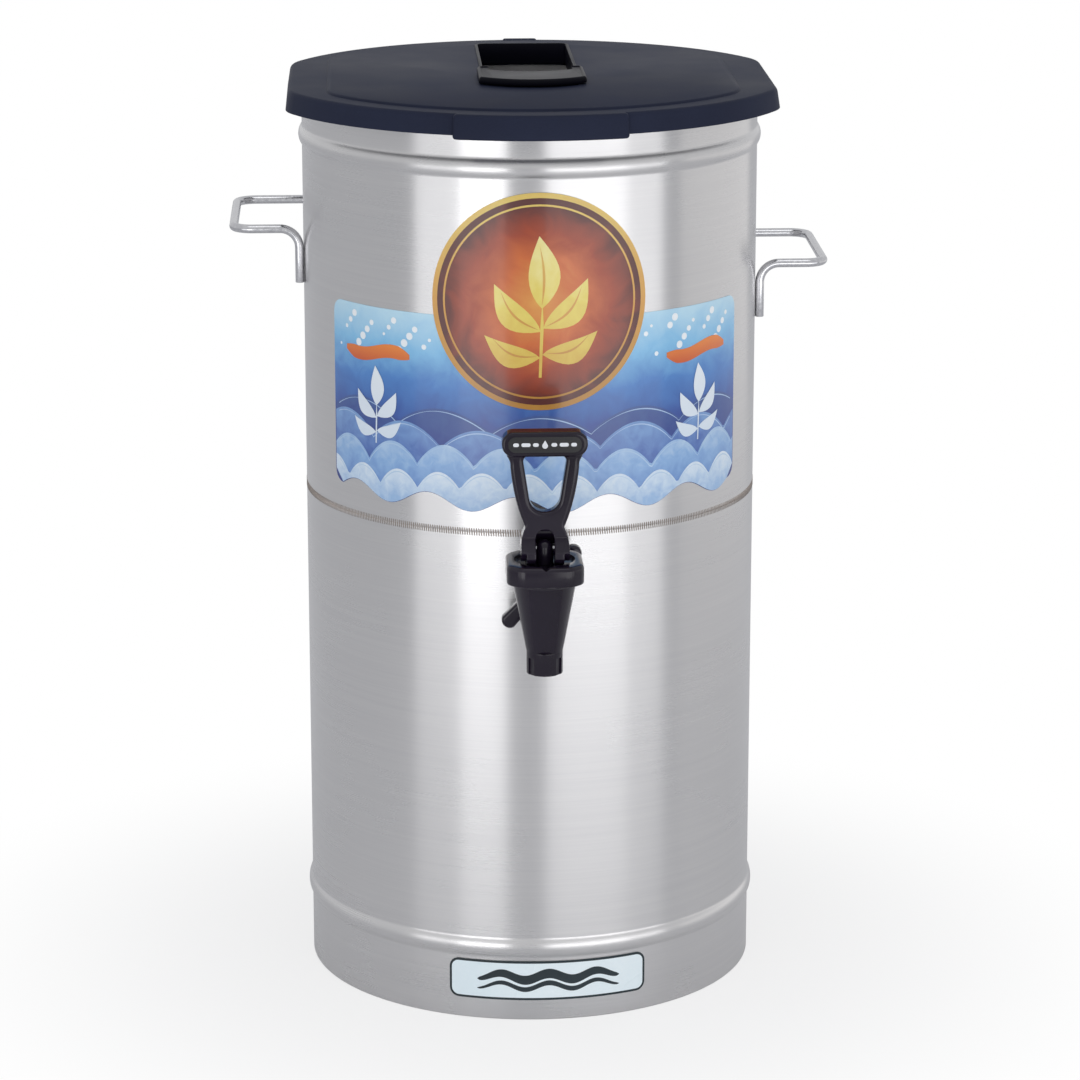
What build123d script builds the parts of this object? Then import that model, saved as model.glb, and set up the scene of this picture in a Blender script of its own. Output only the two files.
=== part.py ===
from build123d import *
import math
import os

# Countertop iced tea dispenser: a steel tank on its own skirt, a lift-off lid with a
# brew-through slot, two rod handles and a lever faucet held on by a wing nut.
# Millimetres, +Z up, origin on the tank axis in the plane it stands on, front towards -Y.

# Tank wall
BODY_RADIUS = 142.0
BODY_HEIGHT = 567.5
WALL = 1.2
HEM_HEIGHT = 10.0
HEM_EDGE_RADIUS = 0.6
RIM_CURL_RADIUS = 2.4
RIM_CURL_TURN = 270.0
LOWER_BEAD_Z = 47.5
UPPER_BEAD_BELOW_RIM = 30.5
BEAD_HEIGHT = 14.0
BEAD_PROUD = 2.2
BEAD_ROOT_SHARE = 0.35
SEAM_Z = 314.5
SEAM_BEVEL = 0.4

# Drawn tank bottom, whose flange is welded to the wall at the seam
DISH_SHEET = 1.2
DISH_DEPTH = 58.5
DISH_FLANGE = 5.0
DISH_CORNER_RADIUS = 12.0
DISH_CROWN = 5.0

# Rod handles
HANDLE_ROD = 5.56
HANDLE_STAND_OUT = 43.4
HANDLE_FRONT_Y = -12.0
HANDLE_REAR_Y = 92.0
HANDLE_LEG = 34.0
HANDLE_BEND_RADIUS = 12.0
LEFT_HANDLE_BELOW_RIM = 89.0
RIGHT_HANDLE_BELOW_RIM = 113.5

# Shank and what clamps it in the tank wall; distances are in front of the wall
SHANK_BELOW_SEAM = 27.5
SHANK_RADIUS = 10.0
SHANK_FRONT = 24.0
SHANK_FLANGE_RADIUS = 15.0
SHANK_FLANGE = 3.0
SHANK_SOCKET_DEPTH = 13.0
SHANK_BORE_RADIUS = 5.5
WASHER_THICKNESS = 3.0
LOCKNUT_FLATS = 27.0
LOCKNUT_THICKNESS = 7.5
SHANK_TAIL = 2.5
HOLE_CLEARANCE = 0.3

# Wing nut
WING_HUB_RADIUS = 13.5
WING_HUB_BACK = 9.5
WING_LIP = 2.7
WING_TIP_RADIUS = 33.0
WING_WIDTH = 10.0
WING_DEPTH = 8.0
WING_ANGLE = 47.0

# Faucet body
FAUCET_REACH = 58.0
SPOUT_TIP_RADIUS = 10.9
SPOUT_TIP_BELOW_SHANK = 42.5
SPOUT_TIP_HEIGHT = 14.5
SPOUT_BORE_RADIUS = 6.5
CONE_TOP_RADIUS = 18.75
CONE_TOP_ABOVE_SHANK = 13.6
CONE_FLAT_TOP_WIDTH = 20.0
CONE_FLAT_BOTTOM_WIDTH = 11.0
COLLAR_RADIUS = 19.6
COLLAR_HEIGHT = 1.4
NECK_RADIUS = 15.0
NECK_HEIGHT = 6.2
NECK_WALL = 2.1
SEAT_BELOW_SHANK = 15.0
CHAMBER_TAPER_HEIGHT = 11.0
CHAMBER_SEAT_RADIUS = 11.2
TIP_SLOT_WIDTH = 4.6
TIP_SLOT_DEPTH = 1.2
TIP_SLOT_HEIGHT = 10.5
TIP_SLOT_ANGLE = 50.0

# Tailpiece, which slides into the shank and is sealed by an O-ring
TAIL_RADIUS = 8.0
TAIL_BORE_RADIUS = 5.0
TAIL_INSERTION = 11.0
TAIL_COLLAR_RADIUS = 9.9
TAIL_COLLAR = 2.8
O_RING_SECTION = 2.0
O_RING_SQUEEZE = 0.15
O_RING_SETBACK = 4.5

# Bonnet nut
BONNET_WIDTH = 45.6
BONNET_FRONT_FLAT = 30.0
BONNET_HEIGHT = 12.2
BONNET_CHAMFER = 2.6
BONNET_PLATE = 2.8
BONNET_RECESS_RADIUS = 18.0
BONNET_RECESS_DEPTH = 2.5
NOTCH_WIDTH = 6.0
NOTCH_DEPTH = 2.2

# Stem, seat cup and spring
STEM_RADIUS = 5.2
STEM_FLANGE_RADIUS = 8.8
STEM_FLANGE = 2.2
STEM_FLANGE_ABOVE_SEAT = 10.0
STEM_FOOT_RADIUS = 5.0
CUP_SEAT_RADIUS = 8.3
CUP_RADIUS = 10.5
CUP_WALL = 1.3
CUP_FLOOR = 4.2
CUP_FLANGE = 0.9
SPRING_WIRE = 1.2
SPRING_MEAN_RADIUS = 7.4
SPRING_TURNS = 5
SPRING_CHORDS = 12

# Lever
PIN_RADIUS = 2.0
PIN_INSET = 0.8
PIN_ABOVE_CONTACT = 9.0
HEEL_CLEARANCE = 0.2
LEVER_SWING = 55.0
STEM_LIFT = 5.5
HEEL_BACK = 8.0
HEEL_WIDTH = 22.0
BLOCK_WIDTH = 28.6
BLOCK_ABOVE_PIN = 7.8
FORK_SLOT = 11.0
FORK_SLOT_ABOVE_PIN = 10.3
NECK_WIDTH = 21.0
NECK_ABOVE_PIN = 12.8
LEG_MIDDLE_ABOVE_NECK = 21.0
LEG_MIDDLE_WIDTH = 35.8
LABEL_TAB_WIDTH = 50.5
LABEL_TAB_HEIGHT = 15.0
LABEL_TAB_ABOVE_NECK = 43.5
LABEL_TAB_DEPTH = 12.0
LEG_TOP_WIDTH = 42.0
LEG_OVERLAP = 5.0
LEVER_DEPTH = 10.0
LEVER_EDGE_RADIUS = 2.0
WINDOW_TOP_WIDTH = 25.2
WINDOW_LOW_RADIUS = 9.2
WINDOW_ABOVE_NECK = 9.8
WINDOW_CORNER_RADIUS = 3.0
LABEL_END_MARGIN = 3.75
LABEL_EDGE_MARGIN = 2.75
LABEL_THICKNESS = 0.3

# Lid
LID_OVERHANG = 21.0
LID_FLAT_CUT = 12.0
LID_CORNER_RADIUS = 45.0
LID_SKIRT_HEIGHT = 12.5
LID_DRAFT = 9.0
LID_EDGE_RADIUS = 3.0
LID_PLATE = 4.3
LID_SKIRT_WALL = 2.6
LID_SEAT_GAP = 0.2
LID_FIELD_ARC_INSET = 14.0
LID_FIELD_FLAT_INSET = 23.0
LID_FIELD_STEP = 1.4
LID_RING_GAP = 3.4
LID_RING_WALL = 2.4
LID_RING_HEIGHT = 9.0
LID_TAB_WIDTH = 105.0
LID_TAB_PROUD = 3.0
LID_TAB_DROP = 2.4
LID_BUMP_WIDTH = 22.0
LID_BUMP_DEPTH = 7.0
LID_BUMP_HEIGHT = 1.6
LID_BUMP_INSET = 5.0
SLOT_WIDTH = 57.0
SLOT_REAR_Y = 124.0
SLOT_NEAR_Y = -26.0
SLOT_NEAR_RADIUS = 48.0
SLOT_CORNER_RADIUS = 6.0
SLOT_COLLAR_WALL = 2.0
SLOT_COLLAR_RISE = 1.0
SLOT_COLLAR_DROP = 7.0

# Brew-through insert at the near end of the slot
INSERT_OVERHANG = 4.5
INSERT_APRON = 38.0
INSERT_FRONT_RADIUS = 46.0
INSERT_OVERLAP = 22.0
INSERT_RISE = 4.0
INSERT_WALL = 2.4
INSERT_DROP = 14.0
INSERT_GAP = 0.3
INSERT_EDGE_RADIUS = 1.4

# Film on the front and plate on the skirt
DECAL_HALF_ARC = 148.0
DECAL_ABOVE_SEAM = 17.5
DECAL_BELOW_ROUNDEL = 10.0
DECAL_CORNER_RADIUS = 8.0
DECAL_WAVES = 10
DECAL_WAVE_HEIGHT = 5.0
ROUNDEL_RADIUS = 66.0
ROUNDEL_BELOW_BEAD = 7.0
FILM_THICKNESS = 0.25
FILM_GAP = 0.15
PLATE_ARC = 126.0
PLATE_HEIGHT = 25.7
PLATE_LOW_Z = 13.4
PLATE_CORNER_RADIUS = 6.0
PLATE_THICKNESS = 0.4
PLATE_TURN = 2.3

# Fits shared by mating pieces
SHEET_GAP = 0.3
RUNNING = 0.05
SLIDING = 0.25
THREAD = 0.06

# Places worked out from the sizes above
WALL_INSIDE = BODY_RADIUS - WALL
UPPER_BEAD_Z = BODY_HEIGHT - UPPER_BEAD_BELOW_RIM
DISH_RADIUS = WALL_INSIDE - SHEET_GAP
DISH_INSIDE = DISH_RADIUS - DISH_SHEET
DISH_FLOOR_Z = SEAM_Z - DISH_DEPTH
ROD_RADIUS = HANDLE_ROD / 2
HANDLE_REACH = BODY_RADIUS + HANDLE_STAND_OUT
LEFT_HANDLE_Z = BODY_HEIGHT - LEFT_HANDLE_BELOW_RIM
RIGHT_HANDLE_Z = BODY_HEIGHT - RIGHT_HANDLE_BELOW_RIM
SHANK_Z = SEAM_Z - SHANK_BELOW_SEAM
FLANGE_BACK = WASHER_THICKNESS + RUNNING
FLANGE_FRONT = FLANGE_BACK + SHANK_FLANGE
INNER_FACE = DISH_INSIDE - BODY_RADIUS
INNER_WASHER_BACK = INNER_FACE - WASHER_THICKNESS
LOCKNUT_FRONT = INNER_WASHER_BACK - RUNNING
LOCKNUT_BACK = LOCKNUT_FRONT - LOCKNUT_THICKNESS
SHANK_BACK = LOCKNUT_BACK - SHANK_TAIL
TAIL_END = SHANK_FRONT - TAIL_INSERTION
COLLAR_BACK = SHANK_FRONT + RUNNING
COLLAR_FRONT = COLLAR_BACK + TAIL_COLLAR
WING_HUB_FRONT = COLLAR_FRONT + RUNNING + WING_LIP
SPOUT_TIP_Z = SHANK_Z - SPOUT_TIP_BELOW_SHANK
CONE_LOW_Z = SPOUT_TIP_Z + SPOUT_TIP_HEIGHT
CONE_TOP_Z = SHANK_Z + CONE_TOP_ABOVE_SHANK
SEAT_Z = SHANK_Z - SEAT_BELOW_SHANK
COLLAR_TOP_Z = CONE_TOP_Z + COLLAR_HEIGHT
NECK_TOP_Z = COLLAR_TOP_Z + NECK_HEIGHT
NECK_INSIDE = NECK_RADIUS - NECK_WALL
BONNET_LOW_Z = COLLAR_TOP_Z + SHEET_GAP
BONNET_TOP_Z = BONNET_LOW_Z + BONNET_HEIGHT
BONNET_FLOOR_Z = BONNET_TOP_Z - BONNET_RECESS_DEPTH
BONNET_CEILING_Z = BONNET_FLOOR_Z - BONNET_PLATE
SPOUT_Y = -(BODY_RADIUS + FAUCET_REACH)
CONTACT_Z = BONNET_FLOOR_Z + HEEL_CLEARANCE
PIN_Z = CONTACT_Z + PIN_ABOVE_CONTACT
CAM_BASE_RADIUS = STEM_LIFT / math.radians(LEVER_SWING)
STEM_FOOT_Z = SEAT_Z + CUP_FLOOR
STEM_FLANGE_Z = SEAT_Z + STEM_FLANGE_ABOVE_SEAT
STEM_FLANGE_TOP_Z = STEM_FLANGE_Z + STEM_FLANGE
CUP_TOP_Z = NECK_TOP_Z + CUP_FLANGE
PIN_LENGTH = BLOCK_WIDTH - 2 * PIN_INSET
BLOCK_TOP_Z = PIN_Z + BLOCK_ABOVE_PIN
FORK_SLOT_TOP_Z = PIN_Z + FORK_SLOT_ABOVE_PIN
NECK_Z = PIN_Z + NECK_ABOVE_PIN
LEG_MIDDLE_Z = NECK_Z + LEG_MIDDLE_ABOVE_NECK
WINDOW_BOTTOM_Z = NECK_Z + WINDOW_ABOVE_NECK
LABEL_TAB_LOW_Z = NECK_Z + LABEL_TAB_ABOVE_NECK
LABEL_TAB_TOP_Z = LABEL_TAB_LOW_Z + LABEL_TAB_HEIGHT
LABEL_WIDTH = LABEL_TAB_WIDTH - 2 * LABEL_END_MARGIN
LABEL_HEIGHT = LABEL_TAB_HEIGHT - 2 * LABEL_EDGE_MARGIN
LID_ARC_RADIUS = BODY_RADIUS + LID_OVERHANG
LID_FLAT_X = LID_ARC_RADIUS - LID_FLAT_CUT
LID_PLATE_LOW_Z = BODY_HEIGHT + LID_SEAT_GAP
LID_PLATE_TOP_Z = LID_PLATE_LOW_Z + LID_PLATE
LID_SKIRT_LOW_Z = LID_PLATE_TOP_Z - LID_SKIRT_HEIGHT
LID_FIELD_Z = LID_PLATE_TOP_Z + LID_FIELD_STEP
LID_RING_RADIUS = WALL_INSIDE - LID_RING_GAP
INSERT_WIDTH = SLOT_WIDTH + 2 * INSERT_OVERHANG
INSERT_FRONT_Y = SLOT_NEAR_Y - INSERT_APRON
INSERT_REAR_Y = SLOT_NEAR_Y + INSERT_OVERLAP
ROUNDEL_Z = UPPER_BEAD_Z - BEAD_HEIGHT / 2 - ROUNDEL_BELOW_BEAD - ROUNDEL_RADIUS
DECAL_LOW_Z = SEAM_Z + DECAL_ABOVE_SEAM
DECAL_HIGH_Z = ROUNDEL_Z - DECAL_BELOW_ROUNDEL


def tube(outer, inner, low, high):
    """Upright ring on the tank axis."""
    ring = Circle(outer) - Circle(inner)
    return Pos(0, 0, low) * extrude(ring, high - low)


def slab(width, depth, low, high, x=0.0, y=0.0):
    """Box between two heights, centred on x and y."""
    return Pos(x, y, (low + high) / 2) * Box(width, depth, high - low)


def front_rod(radius, back, front):
    """Cylinder along the shank axis between two distances in front of the wall."""
    start = Plane(origin=(0, -(BODY_RADIUS + back), SHANK_Z), x_dir=(1, 0, 0), z_dir=(0, -1, 0))
    rod = Cylinder(radius, front - back, align=(Align.CENTER, Align.CENTER, Align.MIN))
    return start * rod


def spout_turned(points):
    """Solid of revolution about the spout axis from (radius, z) points."""
    profile = Plane.XZ * make_face(Polyline(*points, close=True))
    return Pos(0, SPOUT_Y, 0) * revolve(profile, Axis.Z)


def spout_rod(radius, low, high):
    """Cylinder on the spout axis between two heights."""
    rod = Cylinder(radius, high - low, align=(Align.CENTER, Align.CENTER, Align.MIN))
    return Pos(0, SPOUT_Y, low) * rod


def beaded_line(low_z, high_z, bead_z):
    """Middle line of an upright sheet, with a swaged bead of three tangent arcs."""
    middle = BODY_RADIUS - WALL / 2
    turn = 2 * math.degrees(math.atan2(2 * BEAD_PROUD, BEAD_HEIGHT))
    total = BEAD_HEIGHT / 2 / math.sin(math.radians(turn))
    root = BEAD_ROOT_SHARE * total
    below = Line((middle, low_z), (middle, bead_z - BEAD_HEIGHT / 2))
    lower = JernArc(below @ 1, below % 1, root, -turn)
    crest = JernArc(lower @ 1, lower % 1, total - root, 2 * turn)
    upper = JernArc(crest @ 1, crest % 1, root, -turn)
    return [below, lower, crest, upper, Line(upper @ 1, (middle, high_z))]


def tank_shell():
    """Wall of the tank from the welded seam up to the curled rim."""
    curl_z = BODY_HEIGHT - RIM_CURL_RADIUS - WALL / 2
    edges = beaded_line(SEAM_Z, curl_z, UPPER_BEAD_Z)
    edges.append(JernArc(edges[-1] @ 1, edges[-1] % 1, RIM_CURL_RADIUS, -RIM_CURL_TURN))
    sheet = trace(Curve() + edges, line_width=WALL)
    bevelled = chamfer(sheet.vertices().group_by(Axis.Y)[0].sort_by(Axis.X)[-1], SEAM_BEVEL)
    return revolve(Plane.XZ * bevelled, Axis.Z)


def base_skirt():
    """Lower wall that the tank stands on, with a folded hem and the shank's hole."""
    sheet = trace(Curve() + beaded_line(HEM_HEIGHT / 2, SEAM_Z, LOWER_BEAD_Z), line_width=WALL)
    bevelled = chamfer(sheet.vertices().group_by(Axis.Y)[-1].sort_by(Axis.X)[-1], SEAM_BEVEL)
    hem = Pos(BODY_RADIUS - WALL, HEM_HEIGHT / 2) * Rectangle(2 * WALL, HEM_HEIGHT)
    hem = fillet(hem.vertices().group_by(Axis.Y)[0], HEM_EDGE_RADIUS)
    return revolve(Plane.XZ * (bevelled + hem), Axis.Z) - shank_hole()


def shank_hole():
    """Round hole through the front of the wall and the dish."""
    return front_rod(SHANK_RADIUS + HOLE_CLEARANCE, -BODY_RADIUS / 2, BEAD_PROUD)


def dish_line(radius, corner, lift):
    """One face of the dish: upright side, round corner and crowned floor."""
    floor_z = DISH_FLOOR_Z + lift
    side = Line((radius, SEAM_Z + DISH_FLANGE), (radius, floor_z + corner))
    bend = JernArc(side @ 1, side % 1, corner, -90)
    flat = radius - corner
    crown_radius = (flat**2 + DISH_CROWN**2) / (2 * DISH_CROWN)
    crown_turn = math.degrees(math.asin(flat / crown_radius))
    crown = JernArc((0, floor_z + DISH_CROWN), (1, 0), crown_radius, -crown_turn)
    return [side, bend, crown]


def tank_bottom():
    """Drawn dish whose upright flange is welded to the wall at the seam."""
    outer = dish_line(DISH_RADIUS, DISH_CORNER_RADIUS, 0)
    inner = dish_line(DISH_INSIDE, DISH_CORNER_RADIUS - DISH_SHEET, DISH_SHEET)
    brim = Line(outer[0] @ 0, inner[0] @ 0)
    axis = Line(outer[-1] @ 0, inner[-1] @ 0)
    section = make_face(Curve() + outer + inner + [brim, axis])
    return revolve(Plane.XZ * section, Axis.Z) - shank_hole()


def handle(loop_z):
    """Bent rod on the right side: two legs down the wall and a loop that stands out."""
    stand_off = BODY_RADIUS + ROD_RADIUS + RUNNING
    front_x = math.sqrt(stand_off**2 - HANDLE_FRONT_Y**2)
    rear_x = math.sqrt(stand_off**2 - HANDLE_REAR_Y**2)
    path = FilletPolyline(
        (front_x, HANDLE_FRONT_Y, loop_z - HANDLE_LEG),
        (front_x, HANDLE_FRONT_Y, loop_z),
        (HANDLE_REACH, HANDLE_FRONT_Y, loop_z),
        (HANDLE_REACH, HANDLE_REAR_Y, loop_z),
        (rear_x, HANDLE_REAR_Y, loop_z),
        (rear_x, HANDLE_REAR_Y, loop_z - HANDLE_LEG),
        radius=HANDLE_BEND_RADIUS,
    )
    section = Plane(origin=path @ 0, z_dir=path % 0) * Circle(ROD_RADIUS)
    return sweep(section, path=path)


def wrapped(outline, gap, thickness):
    """Film or plate of a flat front-view outline, bent round the front of the wall."""
    inner = BODY_RADIUS + gap
    ring = tube(inner + thickness, inner, 0, BODY_HEIGHT)
    return ring & extrude(Plane.XZ * outline, 2 * BODY_RADIUS)


def front_x(arc):
    """Sideways distance, seen from the front, of a length measured round the wall."""
    return BODY_RADIUS * math.sin(arc / BODY_RADIUS)


def front_decal():
    """Band with a waved lower edge and a tall roundel over its middle."""
    half = front_x(DECAL_HALF_ARC)
    height = DECAL_HIGH_Z - DECAL_LOW_Z
    band = Pos(0, (DECAL_HIGH_Z + DECAL_LOW_Z) / 2) * Rectangle(2 * half, height)
    band = fillet(band.vertices(), DECAL_CORNER_RADIUS)
    roundel = Pos(0, ROUNDEL_Z) * Ellipse(front_x(ROUNDEL_RADIUS), ROUNDEL_RADIUS)
    outline = band + roundel
    step = 2 * (half - DECAL_CORNER_RADIUS) / DECAL_WAVES
    for index in range(DECAL_WAVES):
        centre = -half + DECAL_CORNER_RADIUS + (index + 0.5) * step
        scallop = Pos(centre, DECAL_LOW_Z) * Ellipse(step / 2, DECAL_WAVE_HEIGHT)
        outline = outline + scallop if index % 2 else outline - scallop
    return wrapped(outline, FILM_GAP, FILM_THICKNESS)


def nameplate():
    middle = PLATE_LOW_Z + PLATE_HEIGHT / 2
    outline = Pos(0, middle) * RectangleRounded(2 * front_x(PLATE_ARC / 2), PLATE_HEIGHT, PLATE_CORNER_RADIUS)
    return Rot(0, 0, PLATE_TURN) * wrapped(outline, FILM_GAP, PLATE_THICKNESS)


def shank():
    """Threaded sleeve with a flange outside the wall and a socket for the tailpiece."""
    sleeve = front_rod(SHANK_RADIUS, SHANK_BACK, SHANK_FRONT)
    sleeve += front_rod(SHANK_FLANGE_RADIUS, FLANGE_BACK, FLANGE_FRONT)
    sleeve -= front_rod(SHANK_BORE_RADIUS, SHANK_BACK, SHANK_FRONT)
    return sleeve - front_rod(TAIL_RADIUS + SLIDING, SHANK_FRONT - SHANK_SOCKET_DEPTH, SHANK_FRONT)


def shank_washer_outer():
    washer = front_rod(SHANK_FLANGE_RADIUS, -SHANK_FLANGE_RADIUS / 2, WASHER_THICKNESS)
    washer -= front_rod(SHANK_RADIUS + RUNNING, -SHANK_FLANGE_RADIUS / 2, WASHER_THICKNESS)
    return washer - Cylinder(BODY_RADIUS + RUNNING, 2 * BODY_HEIGHT)


def shank_washer_inner():
    washer = front_rod(SHANK_FLANGE_RADIUS, INNER_WASHER_BACK, 0)
    washer -= front_rod(SHANK_RADIUS + RUNNING, INNER_WASHER_BACK, 0)
    return washer & Cylinder(DISH_INSIDE - RUNNING, 2 * BODY_HEIGHT)


def shank_locknut():
    start = Plane(origin=(0, -(BODY_RADIUS + LOCKNUT_BACK), SHANK_Z), x_dir=(1, 0, 0), z_dir=(0, -1, 0))
    blank = start * extrude(RegularPolygon(LOCKNUT_FLATS / 2, 6, major_radius=False), LOCKNUT_THICKNESS)
    return blank - front_rod(SHANK_RADIUS + THREAD, LOCKNUT_BACK, LOCKNUT_FRONT)


def wing_nut():
    """Hub threaded on the shank, with a lip that traps the tailpiece collar."""
    nut = front_rod(WING_HUB_RADIUS, WING_HUB_BACK, WING_HUB_FRONT)
    reach = WING_TIP_RADIUS - WING_WIDTH / 2
    wing = Pos(reach / 2, 0) * Rectangle(reach, WING_WIDTH) + Pos(reach, 0) * Circle(WING_WIDTH / 2)
    middle = (WING_HUB_BACK + WING_HUB_FRONT - WING_DEPTH) / 2
    start = Plane(origin=(0, -(BODY_RADIUS + middle), SHANK_Z), x_dir=(1, 0, 0), z_dir=(0, -1, 0))
    for angle in (WING_ANGLE, WING_ANGLE + 180):
        nut += start * extrude(Rot(0, 0, angle) * wing, WING_DEPTH)
    nut -= front_rod(SHANK_RADIUS + THREAD, WING_HUB_BACK, WING_HUB_FRONT - WING_LIP)
    return nut - front_rod(TAIL_RADIUS + SLIDING, WING_HUB_BACK, WING_HUB_FRONT)


def cone_flat():
    """Tapered wedge that leaves the flat on the front of the spout cone."""
    top_y = math.sqrt(CONE_TOP_RADIUS**2 - (CONE_FLAT_TOP_WIDTH / 2) ** 2)
    low_y = math.sqrt(SPOUT_TIP_RADIUS**2 - (CONE_FLAT_BOTTOM_WIDTH / 2) ** 2)
    side = make_face(
        Polyline(
            (SPOUT_Y - top_y, CONE_TOP_Z),
            (SPOUT_Y - low_y, CONE_LOW_Z),
            (SPOUT_Y - 2 * CONE_TOP_RADIUS, CONE_LOW_Z),
            (SPOUT_Y - 2 * CONE_TOP_RADIUS, CONE_TOP_Z),
            close=True,
        )
    )
    return extrude(Plane.YZ * side, CONE_TOP_RADIUS, both=True)


def faucet_body():
    """Spout, bowl and tailpiece moulded in one, bored from the tail to the spout."""
    body = spout_turned(
        [
            (0, SPOUT_TIP_Z),
            (SPOUT_TIP_RADIUS, SPOUT_TIP_Z),
            (SPOUT_TIP_RADIUS, CONE_LOW_Z),
            (CONE_TOP_RADIUS, CONE_TOP_Z),
            (COLLAR_RADIUS, CONE_TOP_Z),
            (COLLAR_RADIUS, COLLAR_TOP_Z),
            (NECK_RADIUS, COLLAR_TOP_Z),
            (NECK_RADIUS, NECK_TOP_Z),
            (0, NECK_TOP_Z),
        ]
    )
    body -= cone_flat()
    body += front_rod(TAIL_RADIUS, TAIL_END, FAUCET_REACH)
    body += front_rod(TAIL_COLLAR_RADIUS, COLLAR_BACK, COLLAR_FRONT)
    body -= o_ring_groove()
    body -= front_rod(TAIL_BORE_RADIUS, TAIL_END, FAUCET_REACH)
    body -= spout_turned(
        [
            (0, SEAT_Z),
            (CHAMBER_SEAT_RADIUS, SEAT_Z),
            (NECK_INSIDE, SEAT_Z + CHAMBER_TAPER_HEIGHT),
            (NECK_INSIDE, NECK_TOP_Z),
            (0, NECK_TOP_Z),
        ]
    )
    body -= spout_rod(SPOUT_BORE_RADIUS, SPOUT_TIP_Z, SEAT_Z)
    for angle in (TIP_SLOT_ANGLE, -TIP_SLOT_ANGLE, 180 - TIP_SLOT_ANGLE, 180 + TIP_SLOT_ANGLE):
        body -= tip_slot(angle)
    return body


def tip_slot(angle):
    """Shallow upright recess in the spout tip, at an angle from the front."""
    high = SPOUT_TIP_Z + TIP_SLOT_HEIGHT
    cutter = slab(TIP_SLOT_WIDTH, 2 * TIP_SLOT_DEPTH, SPOUT_TIP_Z, high, y=-SPOUT_TIP_RADIUS)
    return Pos(0, SPOUT_Y, 0) * (Rot(0, 0, angle) * cutter)


def o_ring_groove():
    back = TAIL_END + O_RING_SETBACK
    front = back + 1.2 * O_RING_SECTION
    ring = front_rod(TAIL_RADIUS + 1, back, front)
    return ring - front_rod(TAIL_RADIUS + SLIDING - O_RING_SECTION + O_RING_SQUEEZE, back, front)


def tailpiece_o_ring():
    """Squeezed ring, drawn to the room between groove and socket."""
    outer = TAIL_RADIUS + SLIDING - RUNNING
    inner = TAIL_RADIUS + SLIDING - O_RING_SECTION + O_RING_SQUEEZE + RUNNING
    section = Pos((outer + inner) / 2, 0) * RegularPolygon((outer - inner) / 2, 8)
    y = -(BODY_RADIUS + TAIL_END + O_RING_SETBACK + 0.6 * O_RING_SECTION)
    return Pos(0, y, SHANK_Z) * (Rot(90, 0, 0) * revolve(Plane.XZ * section, Axis.Z))


def bonnet():
    corner = (BONNET_WIDTH - BONNET_FRONT_FLAT) / 2
    outline = chamfer(Rectangle(BONNET_WIDTH, BONNET_WIDTH).vertices(), corner)
    nut = Pos(0, SPOUT_Y, BONNET_LOW_Z) * extrude(outline, BONNET_HEIGHT)
    nut = fillet(nut.edges().filter_by(Axis.Z), BONNET_CHAMFER)
    nut = chamfer(nut.edges().group_by(Axis.Z)[-1], BONNET_CHAMFER)
    nut = chamfer(nut.edges().group_by(Axis.Z)[0], BONNET_CHAMFER / 2)
    nut -= spout_rod(NECK_RADIUS + THREAD, BONNET_LOW_Z, BONNET_CEILING_Z)
    nut -= spout_rod(BONNET_RECESS_RADIUS, BONNET_FLOOR_Z, BONNET_TOP_Z)
    nut -= spout_rod(STEM_RADIUS + RUNNING, BONNET_CEILING_Z, BONNET_FLOOR_Z)
    return nut - front_notch()


def front_notch():
    """V-shaped notch in the front of the bonnet's rim."""
    vee = make_face(
        Polyline(
            (-NOTCH_WIDTH / 2, BONNET_TOP_Z + RUNNING),
            (0, BONNET_TOP_Z - NOTCH_DEPTH),
            (NOTCH_WIDTH / 2, BONNET_TOP_Z + RUNNING),
            close=True,
        )
    )
    return Pos(0, SPOUT_Y, 0) * extrude(Plane.XZ * vee, BONNET_WIDTH)


def seat_cup():
    """Flexible cup: its floor closes the seat and its flange is clamped by the bonnet."""
    shoulder_z = STEM_FLANGE_Z - STEM_FLANGE
    cup = spout_turned(
        [
            (0, SEAT_Z),
            (CUP_SEAT_RADIUS, SEAT_Z),
            (CUP_SEAT_RADIUS, STEM_FOOT_Z),
            (CUP_RADIUS, shoulder_z),
            (CUP_RADIUS, NECK_TOP_Z),
            (NECK_RADIUS, NECK_TOP_Z),
            (NECK_RADIUS, CUP_TOP_Z),
            (0, CUP_TOP_Z),
        ]
    )
    cup -= spout_rod(STEM_FOOT_RADIUS + RUNNING, STEM_FOOT_Z, STEM_FLANGE_Z)
    return cup - spout_rod(CUP_RADIUS - CUP_WALL, STEM_FLANGE_Z - RUNNING, CUP_TOP_Z)


def valve_stem():
    """Round stem with a foot in the cup, a flange under the spring and a cross-bored eye."""
    stem = spout_rod(STEM_FOOT_RADIUS, STEM_FOOT_Z + RUNNING, STEM_FLANGE_Z)
    stem += spout_rod(STEM_FLANGE_RADIUS, STEM_FLANGE_Z, STEM_FLANGE_TOP_Z)
    stem += spout_rod(STEM_RADIUS, STEM_FLANGE_TOP_Z, PIN_Z)
    stem += Pos(0, SPOUT_Y, PIN_Z) * Sphere(STEM_RADIUS)
    return stem - lever_rod(PIN_RADIUS + RUNNING, 2 * STEM_RADIUS + 2)


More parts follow.
